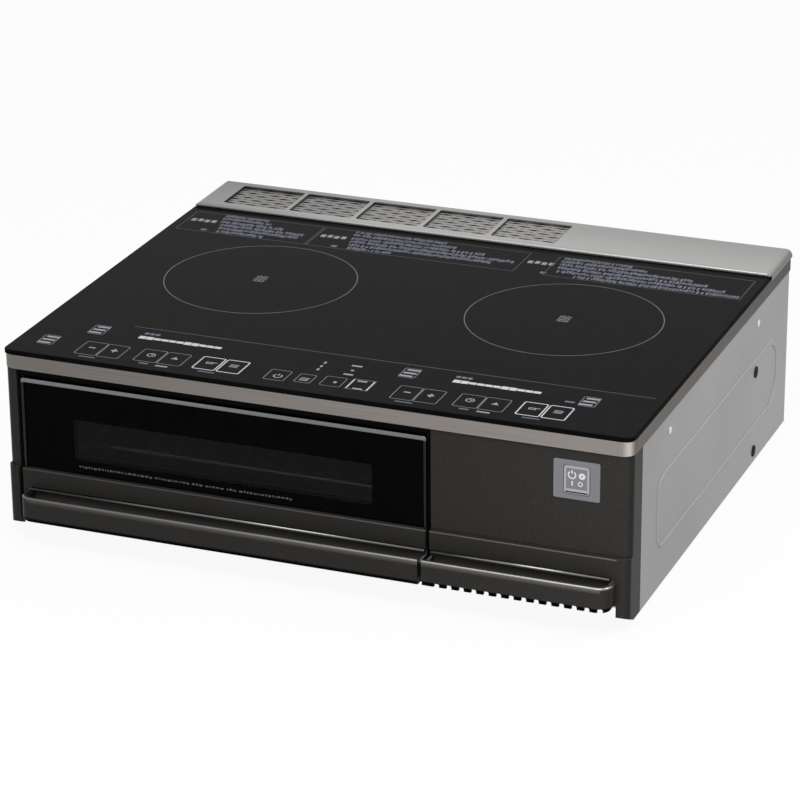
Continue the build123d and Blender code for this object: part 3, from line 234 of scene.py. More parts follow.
# Finishes
def finish(name, colour, vary=0.08, rough=(0.4, 0.5), bump=0.05, scale=400, stretch=EVEN,
           turned=None, metallic=0.0, level=0.5, coat=0.0):
    """A procedural finish: grain in its colour, its roughness and its surface."""
    look = Look(name)
    grain = look.noise(scale, stretch, turned)
    wander = grain if turned else look.noise(BROAD_SCALE, detail=1)
    look.shade({
        "Base Color": look.toned(grain, colour, vary),
        "Roughness": look.ranged(wander, NOISE_SPAN, rough),
        "Metallic": metallic,
        "Specular IOR Level": level,
        "Coat Weight": coat,
        "Coat Roughness": COAT_ROUGHNESS,
    })
    if bump:
        node = look.add("Bump", {"Strength": bump, "Distance": BUMP_DEPTH, "Height": grain})
        look.shade({"Normal": node.outputs["Normal"]})
    return look


# Brushed along X, and along Y on the faces that look sideways
BRUSHED = {"stretch": (2, 700, 700), "turned": (700, 2, 700), "metallic": 0.9}

# Name, colour, how much it varies, roughness, bump and scale of the grain
looks = {
    "frame": finish("brushed_frame", (0.195, 0.179, 0.167), 0.16, (0.30, 0.42), 0.10, 4, **BRUSHED),
    "cover": finish("brushed_cover", (0.335, 0.33, 0.325), 0.12, (0.30, 0.40), 0.10, 4, **BRUSHED),
    "side": finish("side_paint", (0.280, 0.273, 0.276), 0.05, (0.38, 0.46), 0.10, 900,
                   metallic=0.35, level=0.4),
    "moulding": finish("front_moulding", (0.0285, 0.0272, 0.0255), 0.3, (0.24, 0.30), 0.06, 1600,
                       level=0.022),
    "glass": finish("ceramic_glass", (0.0045, 0.0045, 0.0047), 0.2, (0.04, 0.07), 0.0, 60,
                    level=0.010),
    "black": finish("black_plastic", (0.003, 0.003, 0.003), 0.2, (0.5, 0.6), 0.2, 900, level=0.03),
    "chrome": finish("bright_trim", (0.18, 0.18, 0.182), 0.06, (0.10, 0.18), 0.02, 300,
                     metallic=1.0),
    "plate": finish("switch_plate", (0.215, 0.217, 0.23), 0.06, (0.42, 0.5), 0.08, 1400,
                    metallic=0.2, level=0.35),
    "rubber": finish("rubber", (0.02, 0.02, 0.02), 0.2, (0.6, 0.75), 0.3, 700, level=0.25),
    "silicone": finish("silicone", (0.03, 0.03, 0.03), 0.12, (0.5, 0.6), 0.1, 600, level=0.3),
    "sheet": finish("zinc_sheet", (0.42, 0.43, 0.44), 0.09, (0.34, 0.46), 0.05, 160,
                    metallic=0.85),
    "mesh": finish("mesh_metal", (0.265, 0.257, 0.249), 0.18, (0.35, 0.5), 0.15, 500,
                   metallic=0.7),
    "enamel": finish("enamel", (0.028, 0.029, 0.032), 0.5, (0.2, 0.3), 0.1, 1300, coat=0.5),
    "wire": finish("plated_wire", (0.85, 0.85, 0.85), 0.06, (0.22, 0.32), 0.05, 500, metallic=0.9),
    "sheath": finish("heater_sheath", (0.09, 0.08, 0.075), 0.3, (0.45, 0.6), 0.2, 700,
                     metallic=0.7),
    "ceramic": finish("ceramic", (0.62, 0.60, 0.55), 0.06, (0.6, 0.7), 0.15, 700),
    "copper": finish("copper_winding", (0.50, 0.20, 0.09), 0.25, (0.3, 0.45), 0.4, 500,
                     metallic=0.8),
    "ferrite": finish("ferrite", (0.035, 0.035, 0.037), 0.25, (0.6, 0.7), 0.2, 900),
    "alloy": finish("cast_alloy", (0.55, 0.56, 0.57), 0.1, (0.35, 0.5), 0.2, 500, metallic=0.9),
    "board": finish("circuit_board", (0.02, 0.13, 0.055), 0.25, (0.35, 0.45), 0.1, 250, coat=0.3),
    "sleeve": finish("capacitor_sleeve", (0.02, 0.03, 0.075), 0.2, (0.3, 0.4), 0.05, 400),
    "screw": finish("screw_steel", (0.72, 0.72, 0.72), 0.08, (0.3, 0.4), 0.1, 900, metallic=0.5),
}

# The photograph's light, painted on: what is measured, its axis, its span, and the share of the
# colour at both ends of that span
SIDE_LEAN = (0.75, 0.98)  # from the frame's rounded corner to its side face
cover_low, cover_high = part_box("exhaust_cover")
trim_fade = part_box("door_trim")[1].z - 0.0040
tones = {
    # Lighter to the right, brightest on the rounded corner and dull along the side
    "frame": (
        (Look.place, "X", (-0.25, 0.28), (0.86, 1.5)),
        (Look.lean, "X", (0.2, 0.6), (1, 1.9)),
        (Look.lean, "X", SIDE_LEAN, (1, 0.26)),
    ),
    # Darker at its left end, toward its rear edge and on its right end face
    "cover": (
        (Look.place, "X", (cover_low.x, cover_low.x + 0.18), (0.6, 1)),
        (Look.place, "Y", (cover_low.y + 0.01, cover_high.y - 0.01), (1.14, 0.88)),
        (Look.lean, "X", (0.5, 0.95), (1, 0.4)),
    ),
    # Lighter to the right
    "mesh": ((Look.place, "X", (-0.27, 0.05), (0.72, 1.12)),),
    # Paler toward the right end, and darker on the face at that end
    "moulding": (
        (Look.place, "X", (0.05, 0.28), (1, 1.35)),
        (Look.lean, "X", (0.5, 0.9), (1, 0.65)),
    ),
    # Bright only on the upper run of the door trim
    "chrome": ((Look.place, "Z", (trim_fade - 0.001, trim_fade + 0.001), (0.12, 1)),),
    # Slopes that face up are lighter, so that the pressed bead reads
    "side": ((Look.slope, None, (-0.5, 0.5), (0.5, 1.5)),),
}
for key, ramps in tones.items():
    look = looks[key]
    factors = []
    for measure, axis, span, shares in ramps:
        value = measure(look)
        factors.append(look.ranged(value[axis] if axis else value, span, shares))
    look.times(*factors)


def shade_frame_side_to_rear(look):
    """Paints shade on the frame's side face, darker to the rear, and the frame shines less at a
    flat angle.
    """
    not_side = look.ranged(look.lean()["X"], SIDE_LEAN, (1, 0))
    to_rear = look.ranged(look.place()["Y"], (-0.2, 0.25), (0.85, 0.3))
    look.times(look.math("MAXIMUM", not_side, to_rear))
    look.shade({"Specular Tint": (0.70, 0.69, 0.68, 1)})


def dark_glass_edge(look):
    """The edge of the glass plate reflects less than its top."""
    facing_up, edge_level = (0.3, 0.9), 0.001
    level = look.ranged(look.lean()["Z"], facing_up, (edge_level, look.level()))
    look.shade({"Specular IOR Level": level})


# Regions of the front mouldings
EDGE_LEAN = (0.05, 0.5, 0.88, 0.99)  # Z of the direction: the sheen starts, is full, fades, ends
CREASE_Z, CREASE_SHARE = (0.0530, 0.0600), 0.28  # less sheen above the handle band
LIP_Z, LIP_SHARE = (0.0435, 0.0470), 0.4  # some sheen on the lip's front, just below its edge
LIP_Y = (FRONT - 0.0230, FRONT - 0.0225)
MOULDING_X = (-0.28, 0.28)
# colours of the painted highlight at the left and the right end
HIGHLIGHT_LEFT, HIGHLIGHT_RIGHT = (0.13, 0.127, 0.124, 1), (0.27, 0.264, 0.257, 1)
TROUGH_LEAN = (0.5, 0.8)
TROUGH_X, TROUGH_Z = (-0.2760, 0.2810), (0.0335, 0.0480)
TROUGH_Y = (FRONT - 0.0185, FRONT - 0.0180)  # behind the lip's front wall
# lighter colour painted into the trough's shade
TROUGH_PAINTED_LIGHT = (0.105, 0.099, 0.094, 1)
UNDER_Z, UNDER_Y = (0.0280, 0.0300), (FRONT - 0.0112, FRONT - 0.0108)
UNDER_SHADE_COLOUR, UNDER_LEVEL = (0.0012, 0.0012, 0.0012, 1), 0.01


def lighten_trough(look):
    """Painted light in the finger trough: its back wall and its floor are painted lighter than
    their shade, so that the trough doesn't go black.
    """
    place = look.place()
    inside = look.math(
        "MULTIPLY",
        look.ranged(look.slope(), TROUGH_LEAN, (0, 1)),
        look.ranged(place["Y"], TROUGH_Y, (0, 1)),
        look.within(place["Z"], *TROUGH_Z),
        look.within(place["X"], *TROUGH_X),
    )
    look.blend_in(inside, TROUGH_PAINTED_LIGHT)


def paint_edge_highlight(look):
    """Painted highlight on the mouldings' rounded upper edges, most on the handle lip: these edges
    are made metallic, so they reflect the lamps and background, and they take a lighter colour that
    grows toward the right.
    """
    place = look.place()
    crease = look.ranged(place["Z"], CREASE_Z, (1, CREASE_SHARE))
    edge = look.math("MULTIPLY", look.hump(look.lean()["Z"], *EDGE_LEAN), crease)
    below_lip = look.ranged(place["Z"], LIP_Z, (0, LIP_SHARE))
    lip_face = look.math("MULTIPLY", below_lip, look.ranged(place["Y"], LIP_Y, (1, 0)))
    sheen = look.math("MAXIMUM", edge, lip_face)
    to_right = look.ranged(place["X"], MOULDING_X, (0, 1))
    look.blend_in(sheen, look.mix(to_right, HIGHLIGHT_LEFT, HIGHLIGHT_RIGHT))
    look.shade({"Metallic": sheen})


def shade_underside(look):
    """Paints shade on the low rounded underside of the handle and the comb below the right ledge,
    darkening their colour and their reflection.
    """
    place = look.place()
    low = look.ranged(place["Z"], UNDER_Z, (1, 0))
    under = look.math("MULTIPLY", low, look.ranged(place["Y"], UNDER_Y, (1, 0)))
    look.blend_in(under, UNDER_SHADE_COLOUR)
    look.shade({"Specular IOR Level": look.ranged(under, (0, 1), (look.level(), UNDER_LEVEL))})


shade_frame_side_to_rear(looks["frame"])
dark_glass_edge(looks["glass"])
lighten_trough(looks["moulding"])
paint_edge_highlight(looks["moulding"])
shade_underside(looks["moulding"])

# The window in the printed door glass, with its rounded corners
WINDOW_X, WINDOW_Z, WINDOW_CORNER = (-0.230, 0.060), (0.083, 0.122), 0.003
SMOKED = (0.40, 0.40, 0.395, 1)
PANE_GLOSS, PANE_ROUGHNESS = 0.006, 0.03


def window_glass():
    """Black printed glass that is clear and smoked inside the rounded window."""
    look = Look("door_glass")
    grain = look.noise(40)
    look.shade({
        "Base Color": look.toned(grain, (0.0018, 0.0018, 0.002), 0.2),
        "Roughness": look.ranged(grain, NOISE_SPAN, (0.03, 0.06)),
        "Specular IOR Level": 0.012,
    })

    def past(value, low, high):
        """How far a value lies past the straight part of the window."""
        off = look.math("ABSOLUTE", look.math("SUBTRACT", value, (low + high) / 2))
        return look.math("MAXIMUM", look.math("SUBTRACT", off, (high - low) / 2 - WINDOW_CORNER), 0)

    place = look.place()
    squares = [look.math("MULTIPLY", d, d)
               for d in (past(place["X"], *WINDOW_X), past(place["Z"], *WINDOW_Z))]
    inside = look.math("LESS_THAN", look.math("SQRT", look.math("ADD", *squares)), WINDOW_CORNER)
    clear = look.add("BsdfTransparent", {"Color": SMOKED})
    gloss = look.add("BsdfGlossy", {"Color": WHITE, "Roughness": PANE_ROUGHNESS})
    pane = look.mix_shaders(PANE_GLOSS, clear, gloss)
    look.surface(look.mix_shaders(inside, look.shader, pane))
    return look


def clear_glass():
    """The clear inner pane."""
    look = Look("inner_glass")
    grain = look.noise(50)
    look.shade({
        "Base Color": look.toned(grain, (0.8, 0.84, 0.83), 0.03),
        "Roughness": look.ranged(grain, NOISE_SPAN, (0.02, 0.05)),
        "Alpha": 0.06,
    })
    return look


looks["window"] = window_glass()
looks["inner"] = clear_glass()

worn_by = {
    "frame": ["top_frame"],
    "cover": ["exhaust_cover"],
    "side": ["side_panel_left", "side_panel_right"],
    "moulding": ["right_front_panel", "left_pillar", "drawer_front"],
    "glass": ["glass_top"],
    "black": ["front_crossbar", "control_tray", "board_standoffs", "fan_housing", "fan_rotor",
              "cord_gland", "power_switch"],
    "chrome": ["door_trim"],
    "plate": ["switch_bezel", "power_key"],
    "rubber": ["feet"],
    "silicone": ["glass_seal", "door_seal", "touch_contacts"],
    "sheet": ["base_pan", "rear_panel", "partition_wall", "inner_door", "cavity_supports",
              "slide_channel_left", "slide_channel_right", "drawer_carrier", "exhaust_duct",
              "coil_support", "coil_springs", "fan_motor"],
    "mesh": ["exhaust_mesh"],
    "enamel": ["grill_cavity", "drip_tray"],
    "wire": ["grill_rack", "button_spring"],
    "sheath": ["upper_heater", "lower_heater"],
    "ceramic": ["heater_bushings", "temperature_sensors", "terminal_block"],
    "copper": ["coil_winding_left", "coil_winding_right"],
    "ferrite": ["ferrite_bars"],
    "alloy": ["coil_base_left", "coil_base_right", "heat_sink"],
    "board": ["control_board", "inverter_board"],
    "sleeve": ["filter_capacitors"],
    "screw": ["side_screws", "rear_screws", "door_screws"],
    "window": ["door_glass"],
    "inner": ["inner_glass"],
}
for key, names in worn_by.items():
    for name in names:
        data = nodes_by_name[name].data
        data.materials.clear()
        data.materials.append(looks[key].material)


# Pieces made from a mesh
def dressed(name, bm, look):
    """Turns a mesh into an object with a look."""
    data = bpy.data.meshes.new(name)
    bm.to_mesh(data)
    bm.free()
    data.materials.append(look.material)
    return added(name, data)


def riding(piece, body):
    """Makes a piece ride on a body."""
    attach(piece, body)
    return piece


# Printed marks: thin meshes a few hundredths of a millimetre proud of what carries them
PRINT_THICKNESS = 0.03 * MM
PROUD_OF_GLASS, PROUD_OF_FRONT = 0.04 * MM, 0.02 * MM
CORNER_STEPS = 5
LEAST_RADIUS = 0.05
WHOLE = 360


def rounded(cx, cy, width, height, radius):
    """A rounded rectangle as a loop of points."""
    points = []
    for corner, (sx, sy) in enumerate(((1, 1), (-1, 1), (-1, -1), (1, -1))):
        mx, my = cx + sx * (width / 2 - radius), cy + sy * (height / 2 - radius)
        for step in range(CORNER_STEPS + 1):
            angle = math.pi / 2 * (corner + step / CORNER_STEPS)
            points.append((mx + radius * math.cos(angle), my + radius * math.sin(angle)))
    return points


def arc(cx, cy, radius, steps, start, sweep):
    """Points along an arc, in degrees. A whole circle doesn't repeat its first point."""
    points = []
    for step in range(steps if sweep == WHOLE else steps + 1):
        angle = math.radians(start + sweep * step / steps)
        points.append((cx + radius * math.cos(angle), cy + radius * math.sin(angle)))
    return points


class Print:
    """Collects flat marks in millimetres and turns them into one thin mesh."""

    def __init__(self, name, place, look):
        self.name, self.place, self.look = name, place, look
        self.mesh = bmesh.new()

    def face(self, points):
        self.mesh.faces.new([self.mesh.verts.new(self.place(*p)) for p in points])

    def band(self, outer, inner, closed=True):
        count = len(outer)
        for i in range(count if closed else count - 1):
            j = (i + 1) % count
            self.face([outer[i], outer[j], inner[j], inner[i]])

    def frame(self, cx, cy, width, height, radius, line):
        self.band(rounded(cx, cy, width, height, radius),
                  rounded(cx, cy, width - 2 * line, height - 2 * line,
                          max(radius - line, LEAST_RADIUS)))

    def bar(self, cx, cy, width, height):
        self.face([(cx + sx * width / 2, cy + sy * height / 2)
                   for sx, sy in ((-1, -1), (1, -1), (1, 1), (-1, 1))])

    def bars(self, cx, cy, width, height, count, dx=0, dy=0):
        """Equal bars, the first at a place and each of the others one step on."""
        for i in range(count):
            self.bar(cx + i * dx, cy + i * dy, width, height)

    def ring(self, cx, cy, radius, line, steps=96, start=0, sweep=WHOLE):
        self.band(arc(cx, cy, radius + line / 2, steps, start, sweep),
                  arc(cx, cy, radius - line / 2, steps, start, sweep), sweep == WHOLE)

    def done(self, body, slot):
        bmesh.ops.remove_doubles(self.mesh, verts=self.mesh.verts, dist=1e-7)
        bmesh.ops.recalc_face_normals(self.mesh, faces=self.mesh.faces)
        piece = dressed(self.name, self.mesh, self.look)
        solid = piece.modifiers.new("thickness", "SOLIDIFY")
        solid.thickness = PRINT_THICKNESS
        solid.offset = 0
        riding(piece, body)


def on_glass(x, y):
    return Vector((x * MM, FRONT + y * MM, GLASS + PROUD_OF_GLASS))


def on_key(x, z):
    return Vector((x * MM, KEY - PROUD_OF_FRONT, z * MM))


def on_door(x, z):
    return Vector((x * MM, PANEL - PROUD_OF_FRONT, z * MM))


def ink(name, colour):
    return finish(name, colour, 0.12, (0.45, 0.6), 0.0, 2500, level=0.2)


ink_bright = ink("print_white", (0.52, 0.535, 0.56))
ink_sign = ink("print_sign", (0.27, 0.275, 0.29))
ink_mid = ink("print_grey", (0.16, 0.163, 0.17))
ink_dim = ink("print_faint", (0.055, 0.056, 0.058))
ink_blue = ink("print_blue", (0.12, 0.125, 0.165))

# Cooking zones: a ring, and a small lattice in its middle
ZONES_X, ZONE_Y, ZONE_RADIUS, ZONE_LINE = (-152, 152), 248, 91.8, 1.0
rings = Print("zone_rings", on_glass, ink("print_ring", (0.105, 0.105, 0.105)))
marks = Print("zone_marks", on_glass, ink_mid)
for x in ZONES_X:
    rings.ring(x, ZONE_Y, ZONE_RADIUS, ZONE_LINE, steps=160)
    marks.bars(x, ZONE_Y - 6.5, 11.5, 1.9, 4, dy=4.3)
    marks.bars(x - 4.6, ZONE_Y, 1.5, 14.4, 3, dx=4.6)

control_line = Print("control_line", on_glass, ink_dim)
control_line.bar(40, 93, 500, 1.1)

# Rows of level lamps, some of them taller
LAMP_STARTS, LAMP_COUNT, TALL_LAMPS = (-195, 110), 11, (0, 1, 6, 7)
LAMP_Y, LAMP_STEP, LAMP_WIDTH, LAMP_HEIGHT, TALL_HEIGHT = 70.5, 7.5, 6.9, 4.6, 6.4
lamps = Print("level_lamps", on_glass, ink_bright)
for start in LAMP_STARTS:
    for i in range(LAMP_COUNT):
        lamps.bar(start + 3.6 + i * LAMP_STEP, LAMP_Y, LAMP_WIDTH,
                  TALL_HEIGHT if i in TALL_LAMPS else LAMP_HEIGHT)
for mark in (rings, marks, control_line, lamps):
    mark.done("chassis", "black_glass")

# Generic signs, in shares of their size: the bars of each, as x, y, width and height
SIGN_LINE = 0.15
SIGN_BARS = {
    "minus": ((0, 0, 0.8, 0.27),),
    "plus": ((0, 0, 0.8, 0.27), (0, 0.3, 0.24, 0.34), (0, -0.3, 0.24, 0.34)),
    "power": ((0, 0.36, SIGN_LINE, 0.44),),
    "timer": ((0, 0.13, SIGN_LINE, 0.3), (0.11, 0, 0.26, SIGN_LINE)),
    "up": (),
    "grill": tuple((0, y, 0.95, SIGN_LINE) for y in (-0.3, 0, 0.3)),
    "pan": ((0.62, 0.1, 0.4, SIGN_LINE),),
}


def sign(target, kind, x, y, size):
    """A generic sign: a ring, a frame or a triangle for some, and bars."""
    line = size * SIGN_LINE
    if kind == "power":
        target.ring(x, y, size * 0.42, line, steps=40, start=-235, sweep=290)
    elif kind == "timer":
        target.ring(x, y, size * 0.45, line, steps=40)
    elif kind == "pan":
        target.frame(x, y - size * 0.08, size * 0.85, size * 0.5, size * 0.12, line)
    elif kind == "up":
        target.face([(x + size * dx, y + size * dy)
                     for dx, dy in ((-0.45, -0.3), (0.45, -0.3), (0, 0.4))])
    for dx, dy, width, height in SIGN_BARS[kind]:
        target.bar(x + size * dx, y + size * dy, size * width, size * height)


# Touch keys
outlines = Print("key_outlines", on_glass, ink_mid)
outlines_bright = Print("key_outlines_bright", on_glass, ink_bright)
signs = Print("key_signs", on_glass, ink_sign)
small = Print("key_small_signs", on_glass, ink_blue)
KEY_CORNER, KEY_LINE = 2.4, 0.8
GROUP_SHIFTS = (0, 305)

# Pairs of keys, once for each zone: left, right, low, high and the two signs
key_pairs = (
    (-234, -190, 14, 45, "minus", "plus"),
    (-177, -130, 17, 46, "timer", "up"),
    (-120, -73, 18, 48, "pan", "grill"),
)
for shift in GROUP_SHIFTS:
    for left, right, low, high, first, second in key_pairs:
        # What the outline goes on, how much narrower than half the pair it is, its line and the
        # size of the sign
        target, gap, line, size = outlines, 0.3, KEY_LINE, 8
        if first == "pan":
            target, gap, line, size = outlines_bright, 1.2, 1.2, 8.5
        centre, middle, width = (left + right) / 2 + shift, (low + high) / 2, right - left
        for side, kind in ((-1, first), (1, second)):
            x = centre + side * width / 4
            target.frame(x, middle, width / 2 - gap, high - low, KEY_CORNER, line)
            sign(signs, kind, x, middle + 2, size)
        if first == "timer":
            signs.bar(centre + 8, low - 5, 12, 2.6)
            small.bar(centre - 10, low - 4, 9, 2.4)
        else:
            small.bar(centre - 6, low - 4.5, 16, 1.8)

# Keys in the middle: x, y, width, height and line of their outlines
for x, y, width, height, line in (
    (-40, 29, 20, 24, KEY_LINE), (-14, 30, 16, 20, KEY_LINE),
    (12, 32, 20, 22, 0.7), (37.4, 33, 22, 24, KEY_LINE),
):
    outlines.frame(x, y, width, height, KEY_CORNER, line)
for x in (27.5, 47.2):
    outlines_bright.bar(x, 33, 1.9, 23)
sign(signs, "power", -39, 27, 9)
sign(signs, "grill", -14, 28, 9)

# Short bars on the middle keys and above them: x, y, width, height
for bar in (
    (-11.8, 54, 2.2, 4.4), (-11.8, 62, 2.2, 4.4), (-11.8, 71, 2.2, 4.4),
    (18, 52, 9, 3), (18, 62, 3, 3), (18, 73, 10, 3),
    (14, 31, 3, 4), (38, 23, 9, 4), (36, 41, 9, 3),
):
    signs.bar(*bar)

# Framed stacks of three bars, a lone bar, and rows of three squares over the level lamps
for x, y in ((-269, 36), (-236.5, 74), (68, 74), (238, 66)):
    signs.bars(x - 1, y - 7, 12, 3.4, 3, dx=1, dy=7)
    small.frame(x, y, 16, 22, 2, 1.0)
small.bar(222, 60, 9, 3)
for x in (-186, 117):
    small.bars(x - 5.4, 80.5, 4.2, 4.4, 3, dx=5.4)
for mark in (outlines, outlines_bright, signs, small):
    mark.done("chassis", "black_glass")

SHORTEST_DASH = 0.9
LOW_DASH, DASH_LIFT, WIDE_GAP = 0.75, 0.12, 2.5  # shares of the height, the height and the gap


def dashes(target, left, right, y, height, seed, longest=2.6, gap=0.8):
    """One row of short dashes whose lengths, heights and gaps follow a fixed sequence."""
    state, x = seed, left
    while x < right:
        state = (state * 73 + 41) % 997
        length = SHORTEST_DASH + (state % 7) / 6 * (longest - SHORTEST_DASH)
        lift = (state % 3 - 1) * height * DASH_LIFT
        tall = height * (LOW_DASH if state % 4 == 0 else 1)
        target.bar(x + length / 2, y + lift, length, tall)
        x += length + gap * (WIDE_GAP if state % 9 == 0 else 1)


# Bare rows of dashes where the photograph has small print at the rear of the glass
ROW_Y, ROW_STEP, ROW_HEIGHT = 402, 9, 6.6
rows = Print("rear_dash_rows", on_glass, ink_blue)
heads = Print("rear_head_marks", on_glass, ink_sign)
dividers = Print("rear_dividers", on_glass, ink_dim)

# The left and right end of each row, block by block
rear_blocks = (
    ((-256, -211), (-256, -204), (-254, -186), (-251, -162), (-249, -166), (-247, -198)),
    ((-117, -21), (-116, -8), (-114, 22), (-112, 57), (-110, 38), (-108, -62)),
    ((100, 166), (100, 186), (101, 232), (102, 250), (104, 268), (124, 285)),
)
for block, limits in enumerate(rear_blocks):
    for row, (left, right) in enumerate(limits):
        seed = 17 + 31 * block + 7 * row
        dashes(rows, left, right, ROW_Y - row * ROW_STEP, ROW_HEIGHT, seed)
for left in (-285, -146, 69):
    for step in range(4):
        heads.bar(left + 3 + step * 7, 381 + step % 2, 5, 7)
    rows.bar(left + 24, 357, 6, 5)
for left, right in ((-289, -151), (-150, 65), (94, 289)):
    dividers.frame((left + right) / 2, 378, right - left, 54, 1, 0.8)
for mark in (rows, heads, dividers):
    mark.done("chassis", "black_glass")

door_rows = Print("door_dash_row", on_door, ink("print_door", (0.085, 0.085, 0.085)))
dashes(door_rows, -226, -18, 76.6, 1.8, seed=29, longest=3.4, gap=1.2)
door_rows.done("grill_drawer", "window_glass")

# Power key: a light outline and a bar, then a power sign, a small lamp and two more signs
key_low, key_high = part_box("power_key")
key_x = (key_low.x + key_high.x) / 2 / MM
key_z = (key_low.z + key_high.z) / 2 / MM
key_print = Print("power_key_print", on_key, ink("print_key", (0.44, 0.44, 0.47)))
key_print.frame(key_x, key_z, 22.6, 25.0, KEY_CORNER, 1.7)
key_print.bar(key_x, key_z - 10.2, 19.6, 3.6)
key_sign = Print("power_key_sign", on_key, ink("print_key_white", (0.74, 0.76, 0.78)))
sign(key_sign, "power", key_x - 4.2, key_z + 4.6, 7.8)
key_sign.ring(key_x + 4.9, key_z + 4.2, 1.9, 2.2, steps=24)
key_sign.bar(key_x - 4.0, key_z - 3.2, 1.3, 4.2)
key_sign.ring(key_x + 3.4, key_z - 3.2, 1.8, 0.9, steps=24)
for mark in (key_print, key_sign):
    mark.done("power_button", "plate_plastic")


# Added pieces
def round_bar(name, start, end, radius, look, body, steps=16):
    """A round bar between two points."""
    start, end = Vector(start), Vector(end)
    turn = (end - start).to_track_quat("Z", "Y").to_matrix().to_4x4()
    bm = bmesh.new()
    bmesh.ops.create_cone(bm, cap_ends=True, segments=steps, radius1=radius, radius2=radius,
                          depth=(end - start).length,
                          matrix=Matrix.Translation((start + end) / 2) @ turn)
    for face in bm.faces:
        face.smooth = len(face.verts) == 4
    riding(dressed(name, bm, look), body)


# Raised bead along the rear rim of the finger trough, in two runs
RIM_Y, RIM_Z, RIM_RADIUS = FRONT - 0.0018, 0.0485, 0.0021
for name, left, right, body in (
    ("rim_bead_drawer", -0.276, 0.1105, "grill_drawer"),
    ("rim_bead_panel", 0.1165, 0.281, "chassis"),
):
    round_bar(name, (left, RIM_Y, RIM_Z), (right, RIM_Y, RIM_Z), RIM_RADIUS,
              looks["moulding"], body)

# Dark plugs in the holes of the side sheets
PLUG_X, PLUG_Y, PLUG_RADIUS = (0.2970, 0.2988), FRONT + 0.3825, 0.0056
for side, label in ((-1, "left"), (1, "right")):
    for height, level in ((0.0990, "upper"), (0.0180, "lower")):
        inner, outer = ((side * x, PLUG_Y, height) for x in PLUG_X)
        round_bar(f"side_plug_{label}_{level}", inner, outer, PLUG_RADIUS, looks["black"],
                  "chassis", steps=24)

# Woven insert under the windows of the exhaust cover
INSERT_BORDER, INSERT_MARGIN = 0.0008, 0.0001
STRAND_ROWS, STRAND_HALF, STRAND_STEP, STRAND_LIFT = 9, 0.0028, 0.006, 0.0026
WAVE, WAVE_POINTS = 0.0012, 4  # the strands' swing, and their points in one wave
TIE_WIDTH, TIE_HEIGHT, TIE_DROP = 0.0016, 0.0003, 0.0004


def rod(bm, start, end, width, height):
    """A bar along X or Y between two points."""
    length = Vector(end) - Vector(start)
    middle = (Vector(start) + Vector(end)) / 2
    size = (max(abs(length.x), width), max(abs(length.y), width), height, 1)
    bmesh.ops.create_cube(bm, size=1, matrix=Matrix.Translation(middle) @ Matrix.Diagonal(size))


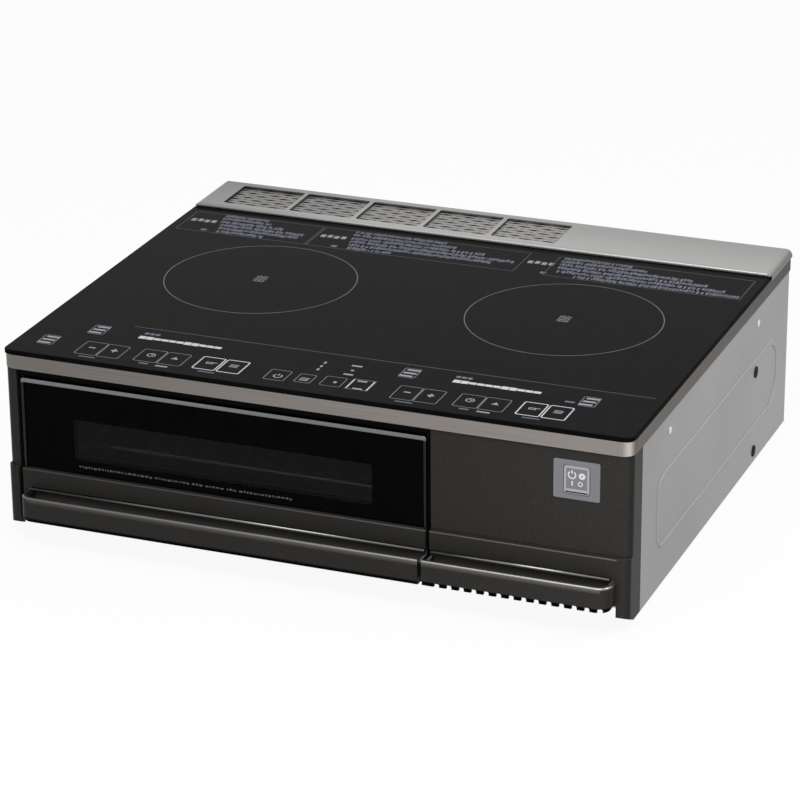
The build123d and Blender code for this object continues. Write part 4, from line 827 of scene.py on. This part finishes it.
def exhaust_insert():
    """A border, wavy strands along it, and short ties between neighbouring strands."""
    low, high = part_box("exhaust_mesh")
    bm = bmesh.new()
    top, bottom = high.z - INSERT_MARGIN, low.z + INSERT_MARGIN
    middle, border = (top + bottom) / 2, INSERT_BORDER
    for y in (low.y + border / 2, high.y - border / 2):
        rod(bm, (low.x, y, middle), (high.x, y, middle), border, top - bottom)
    for x in (low.x + border / 2, high.x - border / 2):
        rod(bm, (x, low.y, middle), (x, high.y, middle), border, top - bottom)

    pitch = (high.y - low.y) / STRAND_ROWS
    count = int((high.x - low.x) / STRAND_STEP)
    strand_z = low.z + STRAND_LIFT
    columns = [low.x + (high.x - low.x) * index / count for index in range(count + 1)]
    for row in range(STRAND_ROWS + 1):
        turn = math.pi if row % 2 else 0
        previous = None
        for index, x in enumerate(columns):
            swing = WAVE * math.sin(2 * math.pi * index / WAVE_POINTS + turn)
            y = min(max(low.y + pitch * row + swing, low.y + STRAND_HALF), high.y - STRAND_HALF)
            pair = [bm.verts.new((x, y + side, strand_z)) for side in (-STRAND_HALF, STRAND_HALF)]
            if previous:
                bm.faces.new((previous[0], pair[0], pair[1], previous[1]))
            previous = pair
    tie_z = strand_z - TIE_DROP
    for row in range(STRAND_ROWS):
        start, end = low.y + pitch * row, low.y + pitch * (row + 1)
        for x in columns[1 + 2 * (row % 2):count:WAVE_POINTS]:
            rod(bm, (x, start, tie_z), (x, end, tie_z), TIE_WIDTH, TIE_HEIGHT)
    weave = riding(dressed("exhaust_weave", bm, looks["mesh"]), "exhaust_cover_body")
    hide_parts("exhaust_mesh")


exhaust_insert()

# Floor, background and lamps
FLOOR_HALF, FLOOR_TONE = 8, (0.86, 0.86, 0.86)
FLOOR_GLOW = 0.93  # how much of the floor glows evenly, so that its shadow is light
SOFT_LIGHT, SEEN_LIGHT = 0.5, 1.0  # the background's strength as a lamp, and as it is seen


def make_floor():
    """A plain pale floor."""
    look = Look("floor")
    look.shade({
        "Base Color": look.toned(look.noise(30), FLOOR_TONE, 0.005),
        "Roughness": 0.9,
        "Specular IOR Level": 0.0,
    })
    glow = look.add("Emission", {"Strength": 1.0})
    share = look.math("MULTIPLY", look.seen_ray(), FLOOR_GLOW)
    look.surface(look.mix_shaders(share, look.shader, glow))
    bm = bmesh.new()
    bmesh.ops.create_grid(bm, x_segments=2, y_segments=2, size=FLOOR_HALF)
    floor = dressed("floor", bm, look)


def make_world():
    """A white background that lights softly."""
    world = bpy.data.worlds.new("studio")
    bpy.context.scene.world = world
    world.use_nodes = True
    tree = Tree(world.node_tree)
    soft = tree.give(tree.nodes["Background"], {"Color": WHITE, "Strength": SOFT_LIGHT})
    seen = tree.add("Background", {"Color": WHITE, "Strength": SEEN_LIGHT})
    mixed = tree.mix_shaders(tree.seen_ray(), soft, seen)
    tree.links.new(mixed.outputs[0], tree.nodes["World Output"].inputs["Surface"])


def soft_box(name, place, aim, size, power):
    """A rectangular lamp at a place, aimed at a point."""
    data = bpy.data.lights.new(name, "AREA")
    data.shape = "RECTANGLE"
    data.size, data.size_y = size
    data.energy = power
    lamp = added(name, data)
    lamp.location = place
    lamp.rotation_mode = "QUATERNION"
    lamp.rotation_quaternion = (Vector(aim) - Vector(place)).to_track_quat("-Z", "Y")


make_floor()
make_world()
soft_box("key_light", (0.25, -0.86, 1.43), (0.05, -0.1, 0.1), (1.2, 0.9), 14)
soft_box("side_light", (1.5, 0.2, 1.9), (0.3, 0, 0.1), (0.5, 0.5), 12)

bpy.context.scene.view_settings.view_transform = "Standard"
